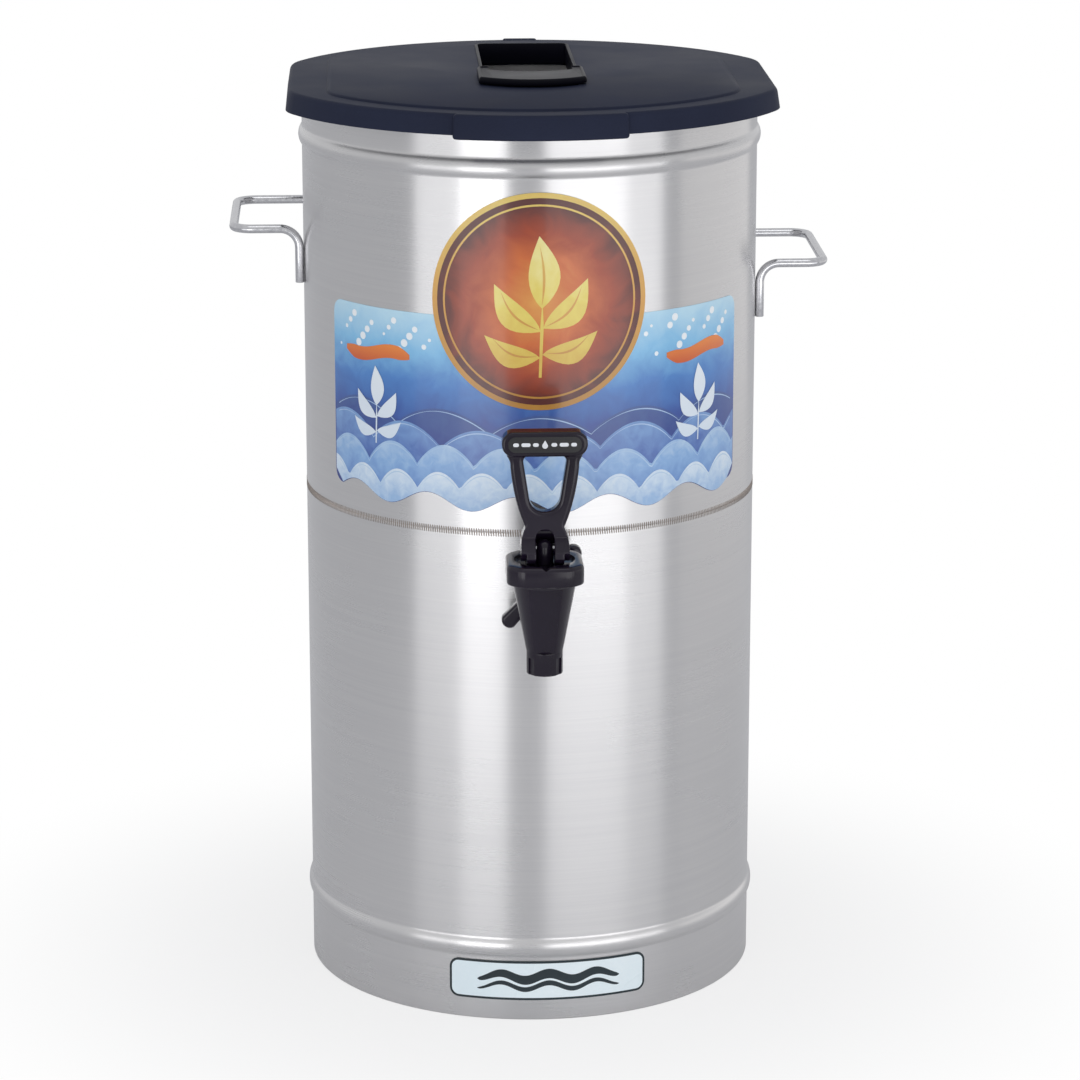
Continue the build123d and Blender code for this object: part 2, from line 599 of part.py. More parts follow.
def stem_spring():
    """Compression spring between the stem's flange and the bonnet, wound in short chords."""
    low = STEM_FLANGE_TOP_Z + SPRING_WIRE / 2 + RUNNING
    high = BONNET_CEILING_Z - SPRING_WIRE / 2 - RUNNING
    turn = Helix((high - low) / SPRING_TURNS, high - low, SPRING_MEAN_RADIUS)
    chords = SPRING_TURNS * SPRING_CHORDS
    coil = Pos(0, SPOUT_Y, low) * Polyline(*[turn @ (step / chords) for step in range(chords + 1)])
    section = Plane(origin=coil @ 0, z_dir=coil % 0) * RegularPolygon(SPRING_WIRE / 2, 6)
    return sweep(section, path=coil, transition=Transition.RIGHT)


def lever_rod(radius, length):
    """Cylinder along the lever's pivot axis."""
    return Pos(0, SPOUT_Y, PIN_Z) * (Rot(0, 90, 0) * Cylinder(radius, length))


def lever_pin():
    return lever_rod(PIN_RADIUS, PIN_LENGTH)


def cam_point(angle, drop):
    """Point of a cam whose tangent is level when the lever is at this angle.

    The drop is the cam's distance below the pin at rest. The outline is an involute,
    so the stem rises in proportion to the angle.
    """
    reach = drop + CAM_BASE_RADIUS * angle
    forward = reach * math.sin(angle) + CAM_BASE_RADIUS * math.cos(angle)
    down = reach * math.cos(angle) - CAM_BASE_RADIUS * math.sin(angle)
    return (SPOUT_Y - forward, PIN_Z - down)


def cam_edge(drop):
    swing = math.radians(LEVER_SWING)
    return Spline(*[cam_point(swing * step / 6, drop) for step in range(7)])


def heel_side():
    """Side outline of the lever's forked block, heel at the bottom, neck at the top."""
    cam = cam_edge(PIN_ABOVE_CONTACT)
    front = cam @ 1
    half = LEVER_DEPTH / 2
    rest = Polyline(
        (front.X, front.Y),
        (front.X, PIN_Z),
        (SPOUT_Y - half, BLOCK_TOP_Z),
        (SPOUT_Y - half, NECK_Z),
        (SPOUT_Y + half, NECK_Z),
        (SPOUT_Y + half, BLOCK_TOP_Z),
        (SPOUT_Y + HEEL_BACK, PIN_Z),
        (SPOUT_Y + HEEL_BACK, CONTACT_Z),
        cam_point(0, PIN_ABOVE_CONTACT),
    )
    return make_face(Curve() + [cam, rest])


def cheek_relief():
    """Side outline of the room that the cheeks leave for the bonnet's rim in every pose."""
    drop = PIN_Z - BONNET_TOP_Z - SHEET_GAP
    cam = cam_edge(drop)
    end = cam @ 1
    swing = math.radians(LEVER_SWING)
    beyond = end + Vector(-math.cos(swing), math.sin(swing)) * BLOCK_WIDTH
    low_z = CONTACT_Z - RUNNING
    back_y = SPOUT_Y + HEEL_BACK + RUNNING
    rest = Polyline(
        end,
        beyond,
        (beyond.X, low_z),
        (back_y, low_z),
        (back_y, PIN_Z - drop),
        cam_point(0, drop),
    )
    return make_face(Curve() + [cam, rest])


def lever_block():
    """Forked block that straddles the stem and carries the cam heel."""
    half = BLOCK_WIDTH / 2
    block = extrude(Plane.YZ * heel_side(), half, both=True)
    front = make_face(
        Polyline(
            (-half, CONTACT_Z),
            (-half, PIN_Z + PIN_RADIUS),
            (-NECK_WIDTH / 2, NECK_Z),
            (NECK_WIDTH / 2, NECK_Z),
            (half, PIN_Z + PIN_RADIUS),
            (half, CONTACT_Z),
            close=True,
        )
    )
    block &= extrude(Plane.XZ * front, -SPOUT_Y + BONNET_WIDTH)
    relief = extrude(Plane.YZ * cheek_relief(), BLOCK_WIDTH, both=True)
    return block - (relief - slab(HEEL_WIDTH, 4 * BLOCK_WIDTH, 0, NECK_Z, y=SPOUT_Y))


def window_outline():
    """D-shaped window: small top corners and a round bottom, joined by tangents."""
    top = Vector(WINDOW_TOP_WIDTH / 2 - WINDOW_CORNER_RADIUS, LABEL_TAB_LOW_Z - WINDOW_CORNER_RADIUS)
    low = Vector(0, WINDOW_BOTTOM_Z + WINDOW_LOW_RADIUS)
    span = top - low
    spread = math.acos((WINDOW_LOW_RADIUS - WINDOW_CORNER_RADIUS) / span.length)
    lean = math.atan2(span.Y, span.X) - spread
    normal = Vector(math.cos(lean), math.sin(lean))
    middle = Vector(math.cos((lean + math.pi / 2) / 2), math.sin((lean + math.pi / 2) / 2))
    crown = top + Vector(0, WINDOW_CORNER_RADIUS)
    side_top = top + normal * WINDOW_CORNER_RADIUS
    side_low = low + normal * WINDOW_LOW_RADIUS
    right = Curve() + [
        Line((0, crown.Y), crown),
        ThreePointArc(crown, top + middle * WINDOW_CORNER_RADIUS, side_top),
        Line(side_top, side_low),
    ]
    bottom = ThreePointArc(side_low, (0, WINDOW_BOTTOM_Z), (-side_low.X, side_low.Y))
    return make_face(right + mirror(right, about=Plane.YZ) + bottom)


def leg_arc(side):
    """Outer edge of one leg of the frame, from the neck up into the label tab."""
    return ThreePointArc(
        (side * NECK_WIDTH / 2, NECK_Z),
        (side * LEG_MIDDLE_WIDTH / 2, LEG_MIDDLE_Z),
        (side * LEG_TOP_WIDTH / 2, LABEL_TAB_LOW_Z + LEG_OVERLAP),
    )


def lever_frame():
    """Plate with curved legs round the window, its long edges rounded."""
    right = leg_arc(1)
    left = leg_arc(-1)
    outline = make_face(Curve() + [right, left, Line(right @ 0, left @ 0), Line(right @ 1, left @ 1)])
    frame = extrude(Plane.XZ * (outline - window_outline()), LEVER_DEPTH / 2, both=True)
    rim = frame.edges().filter_by(Plane.XZ)
    ends = rim.group_by(Axis.Z)
    rim = rim - ends[0] - ends[-1]
    return Pos(0, SPOUT_Y, 0) * fillet(rim, LEVER_EDGE_RADIUS)


def lever_handle():
    """Moulded lever: forked cam block, D-shaped frame and label tab."""
    lever = lever_frame() + label_tab() + lever_block()
    return lever - fork_slot() - lever_rod(PIN_RADIUS + RUNNING, 2 * BLOCK_WIDTH)


def label_tab():
    middle = (LABEL_TAB_TOP_Z + LABEL_TAB_LOW_Z) / 2
    outline = Pos(0, middle) * RectangleRounded(LABEL_TAB_WIDTH, LABEL_TAB_HEIGHT, LABEL_TAB_HEIGHT / 2 - 0.5)
    tab = Pos(0, SPOUT_Y, 0) * extrude(Plane.XZ * outline, LABEL_TAB_DEPTH / 2, both=True)
    return fillet(tab.edges().filter_by(Plane.XZ), LEVER_EDGE_RADIUS)


def fork_slot():
    """Slot between the lever's cheeks, round at the top, for the stem's eye."""
    return slab(FORK_SLOT, BONNET_WIDTH, CONTACT_Z - 1, FORK_SLOT_TOP_Z, y=SPOUT_Y)


def lever_label():
    middle = (LABEL_TAB_TOP_Z + LABEL_TAB_LOW_Z) / 2
    outline = Pos(0, middle) * RectangleRounded(LABEL_WIDTH, LABEL_HEIGHT, LABEL_HEIGHT / 2 - 0.5)
    y = SPOUT_Y - LABEL_TAB_DEPTH / 2
    return Pos(0, y, 0) * extrude(Plane.XZ * outline, LABEL_THICKNESS)


def lid_outline(arc_radius, flat_x):
    """Circle cut by a flat on each side, with rounded corners."""
    outline = Circle(arc_radius) & Rectangle(2 * flat_x, 2 * arc_radius)
    return fillet(outline.vertices(), LID_CORNER_RADIUS)


def slot_outline(grow):
    """Brew slot: straight sides, square back and a near end that bulges forward."""
    half = SLOT_WIDTH / 2 + grow
    side_y = SLOT_NEAR_Y + SLOT_NEAR_RADIUS - math.sqrt(SLOT_NEAR_RADIUS**2 - (SLOT_WIDTH / 2) ** 2)
    sides = Polyline((-half, side_y), (-half, SLOT_REAR_Y + grow), (half, SLOT_REAR_Y + grow), (half, side_y))
    near = ThreePointArc((half, side_y), (0, SLOT_NEAR_Y - grow), (-half, side_y))
    face = make_face(Curve() + [sides, near])
    return fillet(face.vertices().group_by(Axis.Y)[-1], SLOT_CORNER_RADIUS)


def lid():
    """Moulded lid: drafted skirt, raised field, collared brew slot, tab and inner ring."""
    draft_shift = LID_SKIRT_HEIGHT * math.tan(math.radians(LID_DRAFT))
    outer = extrude(lid_outline(LID_ARC_RADIUS, LID_FLAT_X), LID_SKIRT_HEIGHT, taper=LID_DRAFT)
    outer = fillet(outer.edges().group_by(Axis.Z)[-1], LID_EDGE_RADIUS)
    inner_arc = LID_ARC_RADIUS - LID_SKIRT_WALL
    inner_flat = LID_FLAT_X - LID_SKIRT_WALL
    hollow_height = LID_PLATE_LOW_Z - LID_SKIRT_LOW_Z
    hollow = extrude(lid_outline(inner_arc, inner_flat), hollow_height, taper=LID_DRAFT)
    shell = Pos(0, 0, LID_SKIRT_LOW_Z) * (outer - hollow)
    field = lid_outline(
        LID_ARC_RADIUS - draft_shift - LID_FIELD_ARC_INSET,
        LID_FLAT_X - draft_shift - LID_FIELD_FLAT_INSET,
    )
    shell += Pos(0, 0, LID_PLATE_TOP_Z) * extrude(field, LID_FIELD_STEP, taper=45)
    shell += lid_front_tab()
    shell += lid_bump()
    ring_low = LID_PLATE_LOW_Z - LID_RING_HEIGHT
    shell += tube(LID_RING_RADIUS, LID_RING_RADIUS - LID_RING_WALL, ring_low, LID_PLATE_LOW_Z)
    collar_low = LID_PLATE_LOW_Z - SLOT_COLLAR_DROP
    collar_high = LID_FIELD_Z + SLOT_COLLAR_RISE
    shell += Pos(0, 0, collar_low) * extrude(slot_outline(SLOT_COLLAR_WALL), collar_high - collar_low)
    return shell - Pos(0, 0, collar_low) * extrude(slot_outline(0), collar_high - collar_low)


def lid_front_tab():
    """Thicker lip at the front, a little prouder and lower than the skirt."""
    radius = LID_ARC_RADIUS + LID_TAB_PROUD
    height = LID_SKIRT_HEIGHT + LID_TAB_DROP
    draft_shift = height * math.tan(math.radians(LID_DRAFT))
    disc = extrude(Circle(radius), height, taper=LID_DRAFT)
    disc = fillet(disc.edges().group_by(Axis.Z)[-1], LID_EDGE_RADIUS)
    inside = LID_ARC_RADIUS - LID_SKIRT_WALL
    disc -= extrude(Circle(inside), height, taper=LID_DRAFT)
    window = slab(LID_TAB_WIDTH, radius, 0, height, y=-radius)
    window = fillet(window.edges().filter_by(Axis.Z).group_by(Axis.Y)[0], draft_shift)
    return Pos(0, 0, LID_SKIRT_LOW_Z - LID_TAB_DROP) * (disc & window)


def lid_bump():
    y = LID_ARC_RADIUS - LID_BUMP_INSET - LID_BUMP_DEPTH
    high = LID_PLATE_TOP_Z + LID_BUMP_HEIGHT
    return slab(LID_BUMP_WIDTH, LID_BUMP_DEPTH, LID_PLATE_LOW_Z, high, y=y)


def brew_insert():
    """Glossy apron over the slot's near end, with a lip down into the slot."""
    half = INSERT_WIDTH / 2
    side_y = INSERT_FRONT_Y + INSERT_FRONT_RADIUS - math.sqrt(INSERT_FRONT_RADIUS**2 - half**2)
    outline = make_face(
        Curve()
        + [
            Polyline((-half, side_y), (-half, INSERT_REAR_Y), (half, INSERT_REAR_Y), (half, side_y)),
            ThreePointArc((half, side_y), (0, INSERT_FRONT_Y), (-half, side_y)),
        ]
    )
    low = LID_FIELD_Z + SLOT_COLLAR_RISE + RUNNING
    apron = Pos(0, 0, low) * extrude(outline, INSERT_RISE)
    lip_low = LID_PLATE_LOW_Z - INSERT_DROP
    near_half = slab(2 * SLOT_WIDTH, 2 * SLOT_WIDTH, lip_low, low + INSERT_RISE, y=INSERT_REAR_Y - SLOT_WIDTH)
    lip = Pos(0, 0, lip_low) * extrude(slot_outline(-INSERT_GAP), low - lip_low)
    mouth = Pos(0, 0, lip_low) * extrude(slot_outline(-INSERT_GAP - INSERT_WALL), low + INSERT_RISE - lip_low)
    apron = fillet(apron.edges().group_by(Axis.Z)[-1], INSERT_EDGE_RADIUS)
    return apron + (lip & near_half) - mouth


os.makedirs("parts", exist_ok=True)
PARTS = {
    "tank_shell": tank_shell,
    "base_skirt": base_skirt,
    "tank_bottom": tank_bottom,
    "front_decal": front_decal,
    "nameplate": nameplate,
    "shank": shank,
    "shank_washer_outer": shank_washer_outer,
    "shank_washer_inner": shank_washer_inner,
    "shank_locknut": shank_locknut,
    "wing_nut": wing_nut,
    "faucet_body": faucet_body,
    "tailpiece_o_ring": tailpiece_o_ring,
    "bonnet": bonnet,
    "seat_cup": seat_cup,
    "valve_stem": valve_stem,
    "stem_spring": stem_spring,
    "lever_pin": lever_pin,
    "lever_handle": lever_handle,
    "lever_label": lever_label,
    "lid": lid,
    "brew_insert": brew_insert,
}
for name, make in PARTS.items():
    export_step(make(), f"parts/{name}.step")
export_step(handle(RIGHT_HANDLE_Z), "parts/handle_right.step")
export_step(mirror(handle(LEFT_HANDLE_Z), about=Plane.YZ), "parts/handle_left.step")
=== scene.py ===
import logging
import math
from collections.abc import Callable, Iterator, Sequence
from contextlib import contextmanager
from dataclasses import dataclass
from enum import Enum

import bmesh
import bpy
from mathutils import Matrix, Vector


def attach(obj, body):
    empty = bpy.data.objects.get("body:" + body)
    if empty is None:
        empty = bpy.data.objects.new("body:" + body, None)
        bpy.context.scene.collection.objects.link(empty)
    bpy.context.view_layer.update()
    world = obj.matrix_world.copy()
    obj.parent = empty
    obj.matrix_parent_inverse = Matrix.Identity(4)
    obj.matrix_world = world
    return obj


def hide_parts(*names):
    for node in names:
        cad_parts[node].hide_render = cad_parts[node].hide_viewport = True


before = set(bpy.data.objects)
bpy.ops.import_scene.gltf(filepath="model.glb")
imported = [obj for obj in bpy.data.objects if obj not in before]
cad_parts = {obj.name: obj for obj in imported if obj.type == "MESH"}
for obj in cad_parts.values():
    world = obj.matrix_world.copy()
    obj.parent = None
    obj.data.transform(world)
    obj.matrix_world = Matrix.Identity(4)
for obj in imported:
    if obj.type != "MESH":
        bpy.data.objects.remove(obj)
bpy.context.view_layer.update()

log = logging.getLogger("dispenser")

MM = 0.001
PER_METRE = 1000.0
MERGE = 0.002 * MM

Obj = bpy.types.Object
Tree = bpy.types.NodeTree
Node = bpy.types.Node
Socket = bpy.types.NodeSocket
Material = bpy.types.Material
Place = Sequence[float]
Points = list[tuple[float, float]]
Stops = Sequence[tuple[float, str]]
Test = Callable[[Vector, Vector], bool]


class Part(Enum):
    """What edit mode selects."""

    VERT = "VERT"
    EDGE = "EDGE"
    FACE = "FACE"


class Body(Enum):
    """The moving bodies that a piece can ride on."""

    TANK = "dispenser"
    LID = "lid"
    LEVER = "lever"
    WING_NUT = "wing_nut"


class Slot(Enum):
    """The record's material slots that a new piece can take."""

    SHEET = "brushed_steel_sheet"
    ROD = "polished_rod"
    LID = "lid_black"
    INSERT = "insert_black"
    FAUCET = "faucet_black"
    LABEL = "label_black"
    FILM = "printed_film"
    PLATE = "plate_face"


class Axis(Enum):
    """The axes that a piece is turned about."""

    Y = "Y"
    Z = "Z"


class Ink(Enum):
    """The print's inks."""

    WATER_BLUE = "water_blue"
    DEEP_BLUE = "deep_blue"
    DUSK_BLUE = "dusk_blue"
    MID_BLUE = "mid_blue"
    FOAM = "foam"
    CREST_LINE = "crest_line"
    WHITE = "white"
    RED_ORANGE = "red_orange"
    AMBER = "amber"
    GOLD = "gold"
    LEAF_YELLOW = "leaf_yellow"


class Cut(Enum):
    """What a cutter does to a piece."""

    TAKE_AWAY = "DIFFERENCE"
    JOIN = "UNION"
    KEEP_SHARED = "INTERSECT"


# Modelling by hand


def deselect() -> None:
    """Deselect every object."""
    bpy.ops.object.select_all(action="DESELECT")


def take(*objs: Obj) -> None:
    """Select only these objects and make the first one active.

    Args:
        objs: The objects to select.
    """
    deselect()
    for obj in objs:
        obj.select_set(True)
    bpy.context.view_layer.objects.active = objs[0]


@contextmanager
def editing(obj: Obj, part: Part = Part.VERT) -> Iterator[None]:
    """Open an object in edit mode with all of it selected, and close it again.

    Args:
        obj: The object to edit.
        part: What is selected while it is open.
    """
    take(obj)
    bpy.ops.object.mode_set(mode="EDIT")
    bpy.ops.mesh.select_mode(type=part.value)
    everything()
    yield
    bpy.ops.object.mode_set(mode="OBJECT")


def pick(obj: Obj, part: Part, test: Test) -> int:
    """Select the vertices, edges or faces of an edited mesh that pass a test.

    Args:
        obj: The object, in edit mode.
        part: What is looked at.
        test: Takes a middle in mm and a normal, or an edge's way, and says whether to select.

    Returns:
        How many were selected.
    """
    bpy.ops.mesh.select_mode(type=part.value)
    bpy.ops.mesh.select_all(action="DESELECT")
    mesh = bmesh.from_edit_mesh(obj.data)
    items = {Part.VERT: mesh.verts, Part.EDGE: mesh.edges, Part.FACE: mesh.faces}[part]
    found = 0
    for item in items:
        if part is Part.VERT:
            middle, normal = item.co, item.normal
        elif part is Part.EDGE:
            start, end = item.verts[0].co, item.verts[1].co
            middle, normal = (start + end) / 2, (end - start).normalized()
        else:
            middle, normal = item.calc_center_median(), item.normal
        if test(middle / MM, normal):
            item.select_set(True)
            found += 1
    mesh.select_flush_mode()
    bmesh.update_edit_mesh(obj.data)
    return found


def everything() -> None:
    """Select all of the edited mesh."""
    bpy.ops.mesh.select_all(action="SELECT")


def pull(value: Place) -> None:
    """Extrude the selection by a distance in mm."""
    bpy.ops.mesh.extrude_region_move(TRANSFORM_OT_translate={"value": Vector(value) * MM})


def weld() -> None:
    """Merge doubles in the edited mesh and turn its faces outwards."""
    everything()
    bpy.ops.mesh.remove_doubles(threshold=MERGE)
    everything()
    bpy.ops.mesh.normals_make_consistent(inside=False)


def draw(name: str, points: Sequence[Place], closed: bool = True) -> Obj:
    """Start a piece as a line of edges, by extruding one vertex from point to point.

    Args:
        name: The piece's name.
        points: The points in mm.
        closed: Whether the line closes on itself.

    Returns:
        The new object.
    """
    deselect()
    bpy.ops.mesh.primitive_plane_add(size=MM)
    obj = bpy.context.active_object
    obj.name = name
    with editing(obj):
        bpy.ops.mesh.merge(type="CENTER")
        bpy.ops.transform.translate(value=Vector(points[0]) * MM)
        route = list(points) + ([points[0]] if closed else [])
        for start, end in zip(route, route[1:]):
            pull(Vector(end) - Vector(start))
        everything()
        bpy.ops.mesh.remove_doubles(threshold=MERGE / 2)
    return obj


def plate(name: str, points: Sequence[Place]) -> Obj:
    """Start a piece as one flat face inside a closed outline.

    Args:
        name: The piece's name.
        points: The outline in mm.

    Returns:
        The new object.
    """
    obj = draw(name, points)
    with editing(obj, Part.EDGE):
        bpy.ops.mesh.edge_face_add()
    return obj


def prism(name: str, points: Sequence[Place], reach: Place) -> Obj:
    """Make a solid by extruding a closed outline.

    Args:
        name: The piece's name.
        points: The outline in mm.
        reach: How far and which way it is extruded, in mm.

    Returns:
        The new object.
    """
    obj = plate(name, points)
    with editing(obj, Part.FACE):
        pull(reach)
        weld()
    return obj


def lathe(name: str, points: Sequence[Place], centre: Place, axis: Place, steps: int) -> Obj:
    """Spin a line of points all the way round an axis.

    Args:
        name: The piece's name.
        points: The section in mm.
        centre: A point on the axis, in mm.
        axis: The axis.
        steps: How many steps the turn takes.

    Returns:
        The new object.
    """
    obj = draw(name, points, closed=False)
    with editing(obj):
        bpy.ops.mesh.spin(steps=steps, angle=math.tau, center=Vector(centre) * MM, axis=axis)
        weld()
    return obj


def face_towards(obj: Obj, way: Place) -> None:
    """Turn the faces of an edited flat sheet towards a direction and select them all.

    Args:
        obj: The sheet, in edit mode.
        way: The direction.
    """
    if pick(obj, Part.FACE, lambda at, up: up.dot(Vector(way)) < 0):
        bpy.ops.mesh.flip_normals()
    everything()


def build_up(obj: Obj, steps: Sequence[tuple[float, float]], closed: bool = True) -> None:
    """Raise a level face in steps, each by an inset and a height in mm.

    Args:
        obj: An object that is one flat level face.
        steps: Inset and height of each step.
        closed: Whether the underside gets a face at the end.
    """
    with editing(obj, Part.FACE):
        face_towards(obj, (0, 0, 1))
        for inset, height in steps:
            bpy.ops.mesh.inset(thickness=inset * MM, depth=height * MM)
        if closed:
            bpy.ops.mesh.select_mode(type=Part.EDGE.value)
            bpy.ops.mesh.select_all(action="DESELECT")
            bpy.ops.mesh.select_non_manifold()
            bpy.ops.mesh.edge_face_add()
            weld()


def modify(obj: Obj, kind: str, **settings: object) -> None:
    """Give a piece a modifier with its settings and apply it.

    Args:
        obj: The piece.
        kind: Blender's name of the modifier.
        settings: Its properties.
    """
    modifier = obj.modifiers.new(kind.lower(), kind)
    for key, value in settings.items():
        setattr(modifier, key, value)
    take(obj)
    bpy.ops.object.modifier_apply(modifier=modifier.name)


def cut(obj: Obj, tool: Obj, kind: Cut = Cut.TAKE_AWAY) -> None:
    """Apply a boolean and delete its tool.

    Args:
        obj: The piece that is cut.
        tool: The piece that cuts it.
        kind: What is done with the shared room.
    """
    modify(obj, "BOOLEAN", operation=kind.value, solver="EXACT", object=tool)
    bpy.data.objects.remove(tool)


def soften(obj: Obj, width: float, segments: int = 2, angle: float = 30.0) -> None:
    """Round a piece's sharp edges.

    Args:
        obj: The piece.
        width: Width of the rounding in mm.
        segments: Faces across it.
        angle: Edges sharper than this many degrees are rounded.
    """
    modify(obj, "BEVEL", width=width * MM, segments=segments, limit_method="ANGLE",
           angle_limit=math.radians(angle), miter_outer="MITER_ARC")


def thicken(obj: Obj, thickness: float, offset: float) -> None:
    """Give a sheet its thickness in mm, with offset 1 outwards and -1 inwards."""
    modify(obj, "SOLIDIFY", thickness=thickness * MM, offset=offset, use_even_offset=True)


def join(obj: Obj, *others: Obj) -> Obj:
    """Join pieces into the first one.

    Args:
        obj: The piece that stays.
        others: The pieces that go into it.

    Returns:
        The joined piece.
    """
    take(obj, *others)
    bpy.ops.object.join()
    return obj


def mould(obj: Obj, voxel: float, passes: int) -> None:
    """Fuse overlapping solids into one moulded skin with softened edges.

    Args:
        obj: The joined solids.
        voxel: Size of the remesh in mm.
        passes: Smoothing passes after it.
    """
    modify(obj, "REMESH", mode="VOXEL", voxel_size=voxel * MM)
    modify(obj, "SMOOTH", factor=0.5, iterations=passes)


def turned_to(obj: Obj, place: Place, degrees: float, axis: Axis) -> Obj:
    """Turn a piece drawn round the origin and put it in its place.

    Args:
        obj: The piece.
        place: Where its origin goes, in mm.
        degrees: How far it turns.
        axis: The axis that it turns about.

    Returns:
        The same piece.
    """
    turn = Matrix.Rotation(math.radians(degrees), 4, axis.value)
    obj.matrix_world = Matrix.Translation(Vector(place) * MM) @ turn
    return obj


# Outlines, in mm


def level(points: Sequence[Place], z: float) -> list[Place]:
    """Lay points of x and y at one height."""
    return [(x, y, z) for x, y in points]


def upright(points: Sequence[Place], y: float) -> list[Place]:
    """Stand points of x and z at one depth."""
    return [(x, y, z) for x, z in points]


def sideways(points: Sequence[Place], x: float) -> list[Place]:
    """Stand points of y and z at one width."""
    return [(x, y, z) for y, z in points]


def mirrored(points: Points) -> Points:
    """Carry points over to the other side, from the last to the first."""
    return [(-x, z) for x, z in reversed(points)]


def arc(centre: Place, radius: float, start: float, end: float, steps: int) -> Points:
    """Points of a plane arc.

    Args:
        centre: Its centre.
        radius: Its radius.
        start: First angle in degrees.
        end: Last angle in degrees.
        steps: How many steps it takes.

    Returns:
        The points, both ends among them.
    """
    turns = [math.radians(start + (end - start) * i / steps) for i in range(steps + 1)]
    return [(centre[0] + radius * math.cos(t), centre[1] + radius * math.sin(t)) for t in turns]


def rounded_box(width: float, height: float, corner: float, steps: int = 5) -> Points:
    """Outline of a rectangle with round corners, centred on the origin.

    Args:
        width: Its width.
        height: Its height.
        corner: Radius of its corners.
        steps: Steps round a corner.

    Returns:
        The points, anticlockwise.
    """
    x, y = width / 2 - corner, height / 2 - corner
    corners = ((x, y, 0), (-x, y, 90), (-x, -y, 180), (x, -y, 270))
    return [p for cx, cy, turn in corners for p in arc((cx, cy), corner, turn, turn + 90, steps)]


# Materials

NOISE_SPAN = {"From Min": 0.3, "From Max": 0.7}
BUMP_DEPTH = 0.05 * MM
LAMINATE = {"Coat Weight": 0.35, "Coat Roughness": 0.12}


def linear(code: str) -> tuple[float, float, float, float]:
    """Turn an sRGB hex colour into a linear one.

    Args:
        code: Six hex digits after a hash.

    Returns:
        Linear red, green, blue and alpha.
    """
    parts = [int(code[i : i + 2], 16) / 255 for i in (1, 3, 5)]
    red, green, blue = [c / 12.92 if c <= 0.04045 else ((c + 0.055) / 1.055) ** 2.4 for c in parts]
    return (red, green, blue, 1.0)


def feed(tree: Tree, target: Node, values: dict | None = None, links: dict | None = None) -> None:
    """Set a node's input values and link its inputs.

    Args:
        tree: The tree it is in.
        target: The node.
        values: Input values by name or number.
        links: What feeds an input, by its name or number: a socket, or a node for its first output.
    """
    for key, value in (values or {}).items():
        target.inputs[key].default_value = value
    for key, source in (links or {}).items():
        tree.links.new(source.outputs[0] if isinstance(source, Node) else source, target.inputs[key])


def node(
    tree: Tree,
    kind: str,
    values: dict | None = None,
    links: dict | None = None,
    stops: Stops = (),
    **settings: object,
) -> Node:
    """Add a node with its settings, values, links and colour stops.

    Args:
        tree: The tree it goes into.
        kind: Blender's name of the node, without ShaderNode.
        values: Input values, as feed takes them.
        links: What feeds its inputs, as feed takes them.
        stops: Position and hex colour of each stop of a colour ramp.
        settings: Properties of the node.

    Returns:
        The new node.
    """
    new = tree.nodes.new("ShaderNode" + kind)
    for key, value in settings.items():
        setattr(new, key, value)
    feed(tree, new, values, links)
    if stops:
        elements = new.color_ramp.elements
        while len(elements) < len(stops):
            elements.new(0.5)
        for element, (position, code) in zip(elements, stops):
            element.position = position
            element.color = linear(code)
    return new


def new_material(name: str) -> tuple[Material, Tree, Node, Socket]:
    """Start a material.

    Args:
        name: Its name.

    Returns:
        The material, its tree, its shader and its object coordinates.
    """
    material = bpy.data.materials.new(name)
    material.use_nodes = True
    tree = material.node_tree
    return material, tree, tree.nodes["Principled BSDF"], node(tree, "TexCoord").outputs["Object"]


@dataclass(frozen=True)
class SurfaceFinish:
    """What every finish shares."""

    name: str

    def material(self) -> Material:
        """Build the material.

        Returns:
            The material.
        """
        material, tree, shader, place = new_material(self.name)
        self.paint(tree, shader, place)
        return material

    def paint(self, tree: Tree, shader: Node, place: Socket) -> None:
        """Feed the shader, as each finish does in its own way.

        Args:
            tree: The material's tree.
            shader: Its shader.
            place: Its object coordinates.
        """
        raise NotImplementedError


